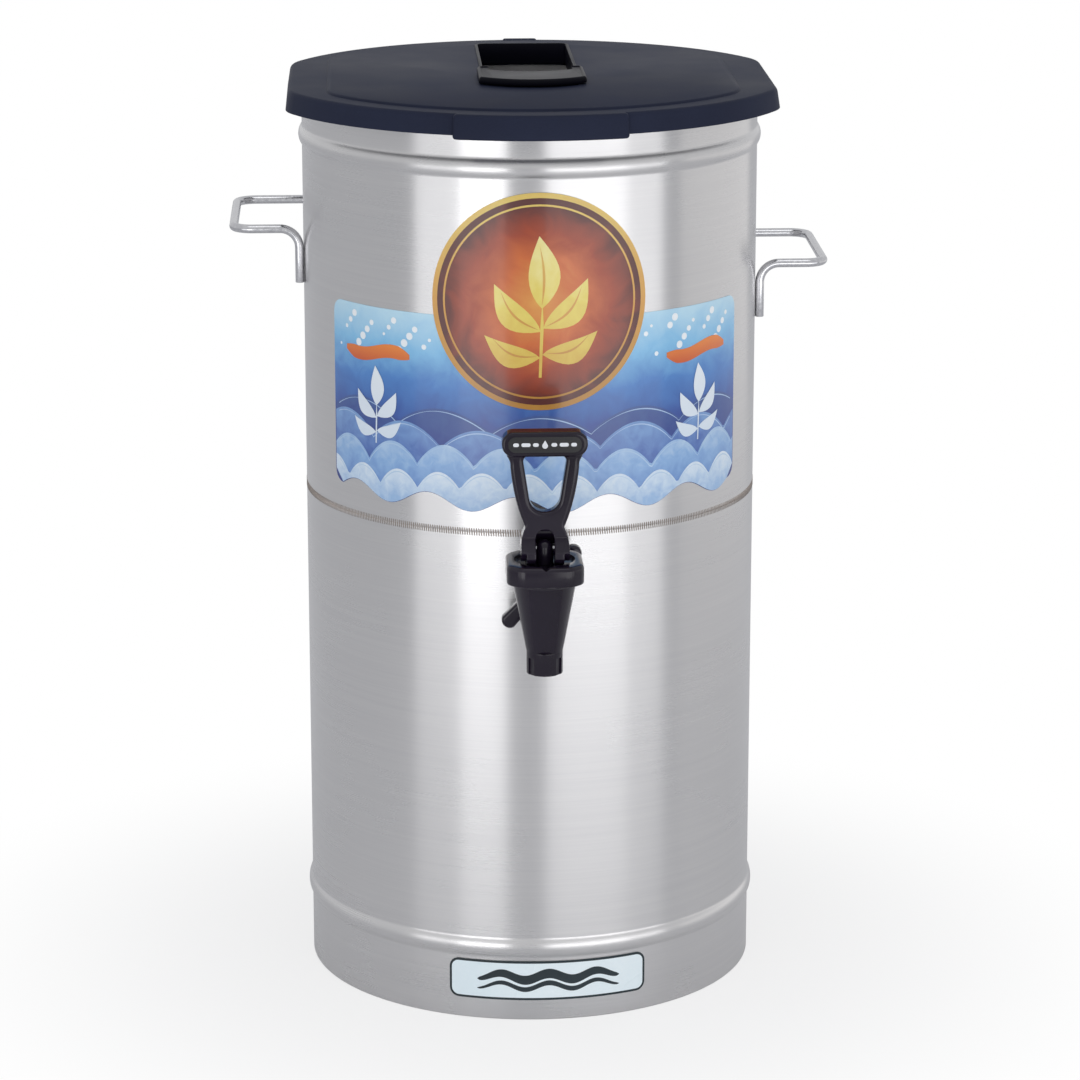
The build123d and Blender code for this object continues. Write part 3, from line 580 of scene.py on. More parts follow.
@dataclass(frozen=True)
class BrushedSteel(SurfaceFinish):
    """Type 304 stainless sheet with a circumferential brushed grain.

    To the eye it is a soft grey metal: reflections smear up and down into tall bands,
    while fine level scratches break them, and handling leaves faint cloudy patches.
    The real scratches are finer than a pixel, so they are drawn as coarse as they need to show.
    """

    pale: str = "#dad9d9"
    dark: str = "#d3d2d3"
    roughness: float = 0.28
    wear: float = 0.02
    scratch: float = 0.008
    bump: float = 0.015
    grain_mm: float = 0.45
    scratch_length_mm: float = 60.0
    anisotropic: float = 0.84
    wear_mm: float = PER_METRE / 9.0

    def paint(self, tree: Tree, shader: Node, place: Socket) -> None:
        """Lay fine and long level scratches over cloudy wear.

        Args:
            tree: The material's tree.
            shader: Its shader.
            place: Its object coordinates.
        """
        across, along = PER_METRE / self.grain_mm, PER_METRE / self.scratch_length_mm
        fine = node(tree, "Mapping", {"Scale": (along, along, across)}, {"Vector": place})
        grain = node(tree, "TexNoise", {"Scale": 1.0, "Detail": 4.0, "Roughness": 0.65}, {"Vector": fine})
        long = node(tree, "Mapping", {"Scale": (along / 3, along / 3, across / 4)}, {"Vector": place})
        lines = node(tree, "TexNoise", {"Scale": 1.0, "Detail": 2.0}, {"Vector": long})
        cloud = node(tree, "TexNoise", {"Scale": PER_METRE / self.wear_mm, "Detail": 3.0}, {"Vector": place})
        both = node(tree, "Math", links={0: grain, 1: lines}, operation="ADD")
        half = node(tree, "Math", {1: 0.5}, {0: both}, operation="MULTIPLY")
        tint = node(tree, "ValToRGB", links={"Fac": half}, stops=((0.3, self.dark), (0.7, self.pale)))
        worn = node(tree, "MapRange", NOISE_SPAN | {"To Min": self.roughness - self.wear,
                                                    "To Max": self.roughness + self.wear}, {"Value": cloud})
        scratched = node(tree, "MapRange", NOISE_SPAN | {"To Min": -self.scratch, "To Max": self.scratch},
                         {"Value": half})
        rough = node(tree, "Math", links={0: worn, 1: scratched}, operation="ADD")
        bump = node(tree, "Bump", {"Strength": self.bump, "Distance": BUMP_DEPTH}, {"Height": half})
        tangent = node(tree, "Tangent", direction_type="RADIAL", axis="Z")
        feed(tree, shader, {"Metallic": 1.0, "Anisotropic": self.anisotropic, "Anisotropic Rotation": 0.25},
             {"Base Color": tint, "Roughness": rough, "Normal": bump, "Tangent": tangent})


@dataclass(frozen=True)
class DrawnSteel(SurfaceFinish):
    """Stainless rod or drawn sheet with a polish: brighter, with small soft flow marks.

    The real marks are finer than a pixel, so they are drawn as coarse as they need to show.
    """

    pale: str = "#d6d6d8"
    dark: str = "#c2c2c6"
    roughness: float = 0.17
    mark_mm: float = 2.0

    def paint(self, tree: Tree, shader: Node, place: Socket) -> None:
        """Let the flow marks tint, dull and dent the metal.

        Args:
            tree: The material's tree.
            shader: Its shader.
            place: Its object coordinates.
        """
        marks = node(tree, "TexNoise", {"Scale": PER_METRE / self.mark_mm, "Detail": 3.0}, {"Vector": place})
        tint = node(tree, "ValToRGB", links={"Fac": marks}, stops=((0.3, self.dark), (0.7, self.pale)))
        rough = node(tree, "MapRange", NOISE_SPAN | {"To Min": self.roughness - 0.03,
                                                     "To Max": self.roughness + 0.05}, {"Value": marks})
        bump = node(tree, "Bump", {"Strength": 0.05, "Distance": BUMP_DEPTH}, {"Height": marks})
        feed(tree, shader, {"Metallic": 1.0}, {"Base Color": tint, "Roughness": rough, "Normal": bump})


@dataclass(frozen=True)
class MouldedPlastic(SurfaceFinish):
    """Injection-moulded plastic: one colour, a fine tool texture and a soft or glossy skin.

    To the eye the texture breaks highlights up a little and keeps broad faces from looking flat.
    The real one is a tenth or two of a millimetre across, so it is drawn a few times as coarse.
    """

    colour: str
    worn: str
    roughness: float
    grain_mm: float = 0.6
    bump: float = 0.15
    coat: float = 0.0
    shine: float = 0.5
    ior: float = 1.49
    wear_mm: float = PER_METRE / 14.0

    def paint(self, tree: Tree, shader: Node, place: Socket) -> None:
        """Lay the tool's fine texture over a cloudy, slightly handled skin.

        Args:
            tree: The material's tree.
            shader: Its shader.
            place: Its object coordinates.
        """
        grain = node(tree, "TexNoise", {"Scale": PER_METRE / self.grain_mm, "Detail": 2.0, "Roughness": 0.6},
                     {"Vector": place})
        cloud = node(tree, "TexNoise", {"Scale": PER_METRE / self.wear_mm, "Detail": 3.0}, {"Vector": place})
        mixed = node(tree, "Math", {1: 0.35}, {0: grain, 2: cloud}, operation="MULTIPLY_ADD")
        tint = node(tree, "ValToRGB", links={"Fac": mixed}, stops=((0.45, self.colour), (0.9, self.worn)))
        rough = node(tree, "MapRange", NOISE_SPAN | {"To Min": max(self.roughness - 0.05, 0.03),
                                                     "To Max": self.roughness + 0.05}, {"Value": cloud})
        bump = node(tree, "Bump", {"Strength": self.bump, "Distance": BUMP_DEPTH}, {"Height": grain})
        feed(tree, shader, {"IOR": self.ior, "Specular IOR Level": self.shine, "Coat Weight": self.coat,
                            "Coat Roughness": 0.08},
             {"Base Color": tint, "Roughness": rough, "Normal": bump})


@dataclass(frozen=True, kw_only=True)
class PrintedInk(SurfaceFinish):
    """Screen-printed vinyl film under a clear gloss laminate.

    To the eye its colours run softly from stop to stop, a little mottled, behind a clean shine.
    """

    stops: Stops
    mottle_mm: float = 14.0
    mottle: float = 0.18
    detail: float = 4.0
    distortion: float = 0.6
    roughness: float = 0.32

    def run(self, tree: Tree, place: Socket) -> Node:
        """Say how far a place lies from the first stop to the last, as each ink does in its own way.

        Args:
            tree: The material's tree.
            place: Its object coordinates.

        Returns:
            The node that gives 0 to 1.
        """
        raise NotImplementedError

    def paint(self, tree: Tree, shader: Node, place: Socket) -> None:
        """Mottle the run of colours and lay the laminate over it.

        Args:
            tree: The material's tree.
            shader: Its shader.
            place: Its object coordinates.
        """
        run = self.run(tree, place)
        noise = node(tree, "TexNoise", {"Scale": PER_METRE / self.mottle_mm, "Detail": self.detail,
                                        "Distortion": self.distortion}, {"Vector": place})
        centred = node(tree, "Math", {1: 0.5}, {0: noise}, operation="SUBTRACT")
        spread = node(tree, "Math", {1: self.mottle}, {0: centred, 2: run}, operation="MULTIPLY_ADD")
        tint = node(tree, "ValToRGB", links={"Fac": spread}, stops=self.stops)
        rough = node(tree, "MapRange", NOISE_SPAN | {"To Min": self.roughness - 0.04,
                                                     "To Max": self.roughness + 0.04}, {"Value": noise})
        feed(tree, shader, LAMINATE, {"Base Color": tint, "Roughness": rough})


@dataclass(frozen=True, kw_only=True)
class RisingInk(PrintedInk):
    """Ink whose colours run from a low to a high edge."""

    low_mm: float
    high_mm: float

    def run(self, tree: Tree, place: Socket) -> Node:
        """Say how high a place lies between the two edges.

        Args:
            tree: The material's tree.
            place: Its object coordinates.

        Returns:
            The node that gives 0 to 1.
        """
        axes = node(tree, "SeparateXYZ", links={"Vector": place})
        return node(tree, "MapRange", {"From Min": self.low_mm * MM, "From Max": self.high_mm * MM},
                    {"Value": axes.outputs["Z"]})


@dataclass(frozen=True, kw_only=True)
class GlowInk(PrintedInk):
    """Ink that runs from a bright middle to a dark edge, with clouds 22 mm across."""

    middle_z_mm: float
    radius_mm: float
    mottle_mm: float = PER_METRE / 45.0
    detail: float = 5.0
    distortion: float = 1.2

    def run(self, tree: Tree, place: Socket) -> Node:
        """Say how far a place lies from the middle, seen from the front.

        Args:
            tree: The material's tree.
            place: Its object coordinates.

        Returns:
            The node that gives 0 to 1.
        """
        centred = node(tree, "Mapping", {"Location": (0, 0, -self.middle_z_mm * MM)}, {"Vector": place})
        flat = node(tree, "VectorMath", {1: (1.0, 0.0, 1.0)}, {0: centred}, operation="MULTIPLY")
        away = node(tree, "VectorMath", links={0: flat}, operation="LENGTH")
        return node(tree, "MapRange", {"From Max": self.radius_mm * MM}, {"Value": away.outputs["Value"]})


# Satin sheet with a level grain: lamps smear into tall soft bands.
STEEL = BrushedSteel("stainless_304_brushed").material()
# Duller than the wall, with broad soft marks where the press has stretched it.
DISH_STEEL = DrawnSteel("stainless_304_deep_drawn", "#c4c4c6", "#b4b4b8", 0.3, 6.0).material()
# Bright round wire that draws thin clear highlights.
ROD_STEEL = DrawnSteel("stainless_rod_tumbled").material()
# Brownish grey and grainy from the heat, so the seam reads as a dark dotted line.
WELD_STEEL = DrawnSteel("stainless_weld_bead", "#a49b95", "#837b75", 0.35, 0.8).material()
# Clean fine wire.
SPRING_STEEL = DrawnSteel("spring_wire_bright", roughness=0.2, mark_mm=1.0).material()
# Blue-black and nearly matt, with a fine leather-like tool texture.
LID_PLASTIC = MouldedPlastic("polypropylene_lid_satin", "#25293a", "#2c3144", 0.5, grain_mm=0.8,
                             shine=0.06).material()
# Smoother and blacker than the lid round it.
INSERT_PLASTIC = MouldedPlastic("abs_black_gloss", "#090911", "#11111c", 0.34, bump=0.03, shine=0.06).material()
# Deep black with a violet cast and tight highlights along the edges.
FAUCET_PLASTIC = MouldedPlastic("nylon_black_moulded", "#16101c", "#1f1828", 0.15, grain_mm=0.5, bump=0.04,
                                shine=0.36).material()
# Greyer black with a machined dullness.
NUT_NYLON = MouldedPlastic("nylon_black_turned", "#141416", "#1d1d20", 0.4).material()
# Dull soft black.
RUBBER = MouldedPlastic("nitrile_rubber_washer", "#101012", "#19191b", 0.6, ior=1.52).material()
# Milky, warm and soft.
SILICONE = MouldedPlastic("silicone_seat_cup", "#b9b6ae", "#c8c5bd", 0.4, ior=1.41).material()
# Flat black film under a clear coat.
LABEL_BLACK = MouldedPlastic("label_film_black", "#0d0d10", "#141418", 0.25, bump=0.02, coat=0.3).material()
# Crisp cool white ink.
LABEL_WHITE = MouldedPlastic("label_ink_white", "#dfe3e8", "#eef0f3", 0.3, bump=0.02).material()
# Pale ice-blue enamel with a gloss coat.
PLATE_PALE = MouldedPlastic("aluminium_plate_painted_pale", "#e6f4fa", "#eff9fd", 0.28, grain_mm=2.0, bump=0.04,
                            coat=0.3).material()
# Blue-black ink under the same gloss.
PLATE_DARK = MouldedPlastic("plate_ink_dark", "#152329", "#1b2c33", 0.3, bump=0.03, coat=0.3).material()


def finish(
    obj: Obj,
    body: Body,
    material: Material,
    stands_for: str = "",
    angle: float = 35.0,
) -> None:
    """Shade a piece, dress it, hang it on its body and report it.

    Args:
        obj: The piece.
        body: The body it rides on.
        material: Its material.
        stands_for: The CAD node that it replaces, if any.
        angle: Edges sharper than this many degrees stay sharp.
    """
    take(obj)
    bpy.ops.object.transform_apply(location=True, rotation=True, scale=True)
    bpy.ops.object.shade_smooth_by_angle(angle=math.radians(angle))
    obj.data.materials.clear()
    obj.data.materials.append(material)
    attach(obj, body.value)
    if stands_for:
        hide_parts(stands_for)
    log.info("%s: %d faces on %s", obj.name, len(obj.data.polygons), body.value)


def dress(material: Material, *names: str) -> None:
    """Give CAD nodes that stay in sight their material.

    Args:
        material: The material.
        names: The nodes.
    """
    for name in names:
        obj = bpy.data.objects[name]
        obj.data.materials.clear()
        obj.data.materials.append(material)
        log.info("%s: CAD node dressed in %s", name, material.name)


# The object's sub-assemblies, in mm


@dataclass
class Tank:
    """Welded steel tank: skirt with a hem, wall, two rolled beads, seam and curled rim."""

    radius: float = 142.0
    height: float = 567.5
    wall: float = 1.2
    hem_height: float = 10.0
    hem_fold: float = 0.65
    hem_lift: float = 0.03
    curl_radius: float = 2.4
    lower_bead_z: float = 47.5
    upper_bead_z: float = 537.0
    bead_height: float = 14.0
    bead_proud: float = 2.2
    bead_root: float = 0.35
    seam_z: float = 314.5
    seam_gap: float = 0.25
    seam_bend: float = 0.6
    seam_run: float = 1.6
    turn_steps: int = 224
    weld_ticks: int = 600
    weld_sunk: float = 0.12
    hole_radius: float = 10.3
    hole_z: float = 287.0

    @property
    def middle(self) -> float:
        """Radius of the middle of the sheet."""
        return self.radius - self.wall / 2

    def bead(self, z: float) -> Points:
        """Radius and height of points over a rolled bead of three tangent arcs.

        Args:
            z: Height of its middle.

        Returns:
            The points from bottom to top.
        """
        turn = 2 * math.atan2(2 * self.bead_proud, self.bead_height)
        total = self.bead_height / 2 / math.sin(turn)
        root = self.bead_root * total
        crest = total - root
        low, high = z - self.bead_height / 2, z + self.bead_height / 2
        out = self.middle + root
        degrees = math.degrees(turn)
        lower = arc((out, low), root, 180, 180 - degrees, 5)
        over = arc((self.middle - crest + self.bead_proud, z), crest, -degrees, degrees, 12)
        upper = arc((out, high), root, 180 + degrees, 180, 5)
        return lower + over[1:-1] + upper

    def turned(self, name: str, section: Points) -> Obj:
        """Spin a line of radius and height round the tank's axis and give it the sheet's thickness.

        Args:
            name: The piece's name.
            section: Radius and height of each point.

        Returns:
            The new sheet.
        """
        obj = lathe(name, upright(section, 0), (0, 0, 0), (0, 0, 1), self.turn_steps)
        thicken(obj, self.wall, 0.0)
        return obj

    def skirt(self) -> Obj:
        """Build the skirt, with its folded hem and the shank's hole.

        Returns:
            The skirt.
        """
        fold = self.hem_fold
        section = [(self.middle - 2 * fold, self.hem_height)]
        section += arc((self.middle - fold, fold + self.wall / 2 + self.hem_lift), fold, 180, 360, 6)
        section += self.bead(self.lower_bead_z)
        section += [(self.middle, self.seam_z - self.seam_run), (self.middle, self.seam_z - self.seam_bend)]
        section += [(self.middle - self.seam_gap, self.seam_z)]
        obj = self.turned("skirt_wall", section)
        deselect()
        bpy.ops.mesh.primitive_cylinder_add(vertices=48, radius=self.hole_radius * MM, depth=40 * MM,
                                            location=(0, -self.radius * MM, self.hole_z * MM),
                                            rotation=(math.pi / 2, 0, 0))
        cut(obj, bpy.context.active_object)
        return obj

    def upper_wall(self) -> Obj:
        """Build the wall above the seam, with its bead and curled rim.

        Returns:
            The wall.
        """
        curl_z = self.height - self.curl_radius - self.wall / 2
        section = [(self.middle - self.seam_gap, self.seam_z), (self.middle, self.seam_z + self.seam_bend)]
        section += [(self.middle, self.seam_z + self.seam_run)]
        section += self.bead(self.upper_bead_z)
        section += arc((self.middle + self.curl_radius, curl_z), self.curl_radius, 180, -90, 18)
        return self.turned("tank_wall", section)

    def seam_weld(self) -> Obj:
        """Build the seam's row of small upright stitch marks.

        Returns:
            The row.
        """
        stitch = [(-0.3, -1.9), (0.1, -2.5), (0.5, -2.3), (0.6, -1.7), (0.3, 1.9), (-0.1, 2.4), (-0.5, 2.2),
                  (-0.6, 1.6)]
        marks = upright([(x, self.seam_z + z) for x, z in stitch], self.weld_sunk - self.radius)
        obj = plate("seam_weld", marks)
        with editing(obj, Part.FACE):
            face_towards(obj, (0, -1, 0))
            bpy.ops.mesh.inset(thickness=0.08 * MM, depth=0.16 * MM)
            bpy.ops.mesh.inset(thickness=0.16 * MM, depth=0.12 * MM)
            everything()
            bpy.ops.mesh.spin(steps=self.weld_ticks, angle=math.tau, center=(0, 0, 0), axis=(0, 0, 1), dupli=True)
            everything()
            bpy.ops.mesh.remove_doubles(threshold=MERGE)
        return obj

    def build(self) -> None:
        """Make the tank's pieces and dress its hidden ones."""
        finish(self.skirt(), Body.TANK, STEEL, "base_skirt")
        finish(self.upper_wall(), Body.TANK, STEEL, "tank_shell")
        finish(self.seam_weld(), Body.TANK, WELD_STEEL)
        dress(DISH_STEEL, "tank_bottom")


@dataclass
class Handle:
    """Loop of bent rod whose two legs are welded to the wall."""

    node: str
    side: int
    loop_z: float
    rod: float = 5.56
    reach: float = 185.39
    front_y: float = -12.0
    rear_y: float = 92.0
    leg: float = 34.0
    bend: float = 12.0
    stand_off: float = 144.83

    def build(self) -> None:
        """Draw the rod's line, round its bends and give it its thickness."""
        front_x = math.sqrt(self.stand_off**2 - self.front_y**2) * self.side
        rear_x = math.sqrt(self.stand_off**2 - self.rear_y**2) * self.side
        far_x = self.reach * self.side
        tip = self.loop_z - self.leg
        route = [
            (front_x, self.front_y, tip), (front_x, self.front_y, self.loop_z),
            (far_x, self.front_y, self.loop_z), (far_x, self.rear_y, self.loop_z),
            (rear_x, self.rear_y, self.loop_z), (rear_x, self.rear_y, tip),
        ]
        obj = draw(self.node + "_rod", route, closed=False)
        with editing(obj):
            pick(obj, Part.VERT, lambda at, up: at.z > self.loop_z - 1)
            bpy.ops.mesh.bevel(offset=self.bend * MM, offset_type="OFFSET", segments=12, affect="VERTICES")
        take(obj)
        bpy.ops.object.convert(target="CURVE")
        obj.data.bevel_depth = self.rod / 2 * MM
        obj.data.bevel_resolution = 6
        obj.data.use_fill_caps = True
        bpy.ops.object.convert(target="MESH")
        with editing(obj):
            weld()
        soften(obj, 0.6, 2, 60)
        finish(obj, Body.TANK, ROD_STEEL, self.node)


@dataclass
class Lid:
    """Moulded lid with a drafted skirt, raised field, brew slot, grip tab and centring ring."""

    arc_radius: float = 163.0
    flat_x: float = 151.0
    corner: float = 45.0
    skirt_low: float = 559.5
    skirt_height: float = 12.5
    draft: float = 9.0
    edge: float = 3.0
    shell: float = 2.6
    plate_top: float = 572.0
    plate_thickness: float = 4.3
    field_step: float = 1.4
    field_arc_inset: float = 14.0
    field_flat_inset: float = 23.0
    tab_width: float = 105.0
    tab_proud: float = 3.0
    tab_drop: float = 2.4
    bump_y: float = 151.0
    ring_radius: float = 137.4
    ring_wall: float = 2.4
    ring_height: float = 9.0
    slot_width: float = 57.0
    slot_rear: float = 124.0
    slot_near: float = -26.0
    slot_near_radius: float = 48.0
    slot_corner: float = 6.0
    collar_wall: float = 2.0
    collar_rise: float = 1.0
    collar_drop: float = 7.0

    @property
    def slope(self) -> float:
        """Inward run of the skirt's draft for each mm of height."""
        return math.tan(math.radians(self.draft))

    @property
    def plate_low(self) -> float:
        """Height of the plate's underside."""
        return self.plate_top - self.plate_thickness

    def outline(self, arc_radius: float, flat_x: float) -> Points:
        """Circle with a flat on each side and round corners.

        Args:
            arc_radius: Radius of its front and back.
            flat_x: Distance of its flats from the middle.

        Returns:
            The points, anticlockwise from above.
        """
        x = flat_x - self.corner
        y = math.sqrt((arc_radius - self.corner) ** 2 - x**2)
        meet = math.degrees(math.atan2(y, x))
        quarter = arc((x, y), self.corner, 0, meet, 9) + arc((0, 0), arc_radius, meet, 90, 15)[1:]
        upper = quarter + mirrored(quarter[:-1])
        return upper + [(px, -py) for px, py in reversed(upper)]

    def slot(self, grow: float) -> Points:
        """Outline of the brew slot, with a square back and a near end that bulges forward.

        Args:
            grow: How far it is grown.

        Returns:
            The points, anticlockwise from above.
        """
        half = self.slot_width / 2 + grow
        back = self.slot_rear + grow - self.slot_corner
        radius = self.slot_near_radius + grow
        swing = math.degrees(math.asin(half / radius))
        points = arc((0, self.slot_near + self.slot_near_radius), radius, -90 - swing, -90 + swing, 14)
        for side, start in ((1, 0), (-1, 90)):
            points += arc((side * (half - self.slot_corner), back), self.slot_corner, start, start + 90, 5)
        return points

    def cover(self) -> Obj:
        """Build the drafted skirt and the plate with its rounded edge.

        Returns:
            The cover.
        """
        obj = plate("lid_cover", level(self.outline(self.arc_radius, self.flat_x), self.skirt_low))
        straight = self.skirt_height - self.edge
        steps = [(straight * self.slope, straight)]
        turns = [math.radians(self.draft + (90 - self.draft) * i / 6) for i in range(7)]
        span = 1 / (1 - math.sin(math.radians(self.draft)))
        for before, after in zip(turns, turns[1:]):
            inset = (math.cos(before) - math.cos(after)) * self.edge
            rise = (math.sin(after) - math.sin(before)) * self.edge * span
            steps.append((inset, rise))
        build_up(obj, steps, closed=False)
        thicken(obj, self.shell, -1.0)
        with editing(obj):
            pick(obj, Part.VERT, lambda at, up: at.z < self.skirt_low + 0.01)
            bpy.ops.transform.resize(value=(1, 1, 0), center_override=(0, 0, self.skirt_low * MM))
        return obj

    def field(self) -> Obj:
        """Build the raised field with its chamfered edge.

        Returns:
            The field.
        """
        lean = self.skirt_height * self.slope
        outline = self.outline(self.arc_radius - lean - self.field_arc_inset,
                               self.flat_x - lean - self.field_flat_inset)
        obj = plate("lid_field", level(outline, self.plate_top - 1.0))
        build_up(obj, [(0, 1.0), (0.45, 0.5), (0.5, 0.5), (0.7, 0.4)])
        return obj

    def tab(self) -> Obj:
        """Build the thicker grip lip at the front.

        Returns:
            The lip.
        """
        low = self.skirt_low - self.tab_drop
        outer, inner = self.arc_radius + self.tab_proud, self.arc_radius - self.shell - 1
        half = math.degrees(math.asin(self.tab_width / 2 / outer))
        rim = arc((0, 0), outer, -90 - half, -90 + half, 24)
        back = arc((0, 0), inner - 14, -90 + half * 1.06, -90 - half * 1.06, 24)
        obj = plate("lid_tab", level(rim + back, low))
        tall = self.skirt_height + self.tab_drop
        build_up(obj, [(0, tall - 0.02)])
        shrink = (outer - self.slope * tall) / outer
        with editing(obj):
            pick(obj, Part.VERT,
                 lambda at, up: at.z > low + 1 and at.y < -inner + 2 and math.hypot(at.x, at.y) > inner)
            bpy.ops.transform.resize(value=(shrink, shrink, 1), center_override=(0, 0, 0))
        soften(obj, 2.2, 4, 50)
        return obj

    def bump(self) -> Obj:
        """Build the small stop at the back of the plate.

        Returns:
            The stop.
        """
        outline = [(x, y + self.bump_y) for x, y in rounded_box(22, 7, 2)]
        obj = plate("lid_bump", level(outline, self.plate_top - 1))
        build_up(obj, [(0, 1.8), (0.3, 0.5), (0.6, 0.3)])
        return obj

    def collar(self) -> Obj:
        """Build the collar round the slot, with rounded top edges.

        Returns:
            The collar.
        """
        tall = self.collar_drop + self.plate_thickness + self.field_step + self.collar_rise
        obj = plate("slot_collar", level(self.slot(self.collar_wall), self.plate_low - self.collar_drop))
        with editing(obj, Part.FACE):
            bpy.ops.mesh.inset(thickness=self.collar_wall * MM)
            bpy.ops.mesh.delete(type="FACE")
            everything()
            pull((0, 0, tall))
            weld()
        soften(obj, 0.6, 3, 50)
        return obj

    def centring_ring(self) -> Obj:
        """Build the ring under the plate that centres the lid in the rim.

        Returns:
            The ring.
        """
        top, low = self.plate_top - 2.0, self.plate_low - self.ring_height
        outer, inner = self.ring_radius, self.ring_radius - self.ring_wall
        section = [(inner, top), (inner, low + 0.6), (inner + 0.6, low), (outer - 0.6, low), (outer, low + 0.6),
                   (outer, top), (inner, top)]
        return lathe("lid_ring", upright(section, 0), (0, 0, 0), (0, 0, 1), 128)

    def build(self) -> None:
        """Make the lid's pieces."""
        cover, field = self.cover(), self.field()
        for obj in (cover, field):
            cut(obj, prism("slot_tool", level(self.slot(self.collar_wall / 2), self.plate_top - 20), (0, 0, 40)))
        join(cover, field, self.tab(), self.bump(), self.centring_ring())
        cover.name = "lid_moulding"
        finish(cover, Body.LID, LID_PLASTIC, "lid", angle=30)
        finish(self.collar(), Body.LID, INSERT_PLASTIC)


@dataclass
class BrewInsert:
    """Glossy funnel insert at the slot's near end: a thick apron and a lip down the slot."""

    lid: Lid
    overhang: float = 4.5
    front_y: float = -64.0
    front_radius: float = 46.0
    rear_y: float = -4.0
    low: float = 574.45
    rise: float = 4.0
    wall: float = 2.4
    drop: float = 14.0
    gap: float = 0.3
    corner: float = 3.0

    def outline(self) -> Points:
        """Outline of the apron, round in front and square behind.

        Returns:
            The points, anticlockwise from above.
        """
        side = self.lid.slot_width / 2 + self.overhang - self.corner
        inner = self.front_radius - self.corner
        swing = math.degrees(math.asin(side / inner))
        centre_y = self.front_y + self.front_radius
        knee_y = centre_y - inner * math.cos(math.radians(swing))
        points = arc((-side, knee_y), self.corner, 180, 270 - swing, 5)
        points += arc((0, centre_y), self.front_radius, -90 - swing, -90 + swing, 16)[1:-1]
        points += arc((side, knee_y), self.corner, -90 + swing, 0, 5)
        points += arc((side, self.rear_y - self.corner), self.corner, 0, 90, 4)
        return points + arc((-side, self.rear_y - self.corner), self.corner, 90, 180, 4)

    def build(self) -> None:
        """Raise the apron from its outline, open its mouth and add the lip."""
        obj = plate("insert_apron", level(self.outline(), self.low))
        build_up(obj, [(0, self.rise - 1.6), (0.25, 0.65), (0.45, 0.55), (0.7, 0.4), (0.5, 0), (0.6, -0.7)])
        lip_low = self.lid.plate_low - self.drop
        lip = prism("lip", level(self.lid.slot(-self.gap), lip_low), (0, 0, self.low + 1 - lip_low))
        room = [(-60, -80), (60, -80), (60, self.rear_y), (-60, self.rear_y)]
        cut(lip, prism("keep", level(room, lip_low - 1), (0, 0, 40)), Cut.KEEP_SHARED)
        cut(obj, lip, Cut.JOIN)
        cut(obj, prism("mouth", level(self.lid.slot(-self.gap - self.wall), lip_low - 1), (0, 0, 40)))
        soften(obj, 0.5, 3, 50)
        finish(obj, Body.LID, INSERT_PLASTIC, "brew_insert")


@dataclass
class OnShank:
    """What is turned about the shank's axis."""

    shank_z: float = 287.0

    def shank_lathe(self, name: str, section: Points, steps: int = 48) -> Obj:
        """Spin radius and depth round the shank's axis."""
        return lathe(name, [(r, y, self.shank_z) for r, y in section], (0, 0, self.shank_z), (0, 1, 0), steps)


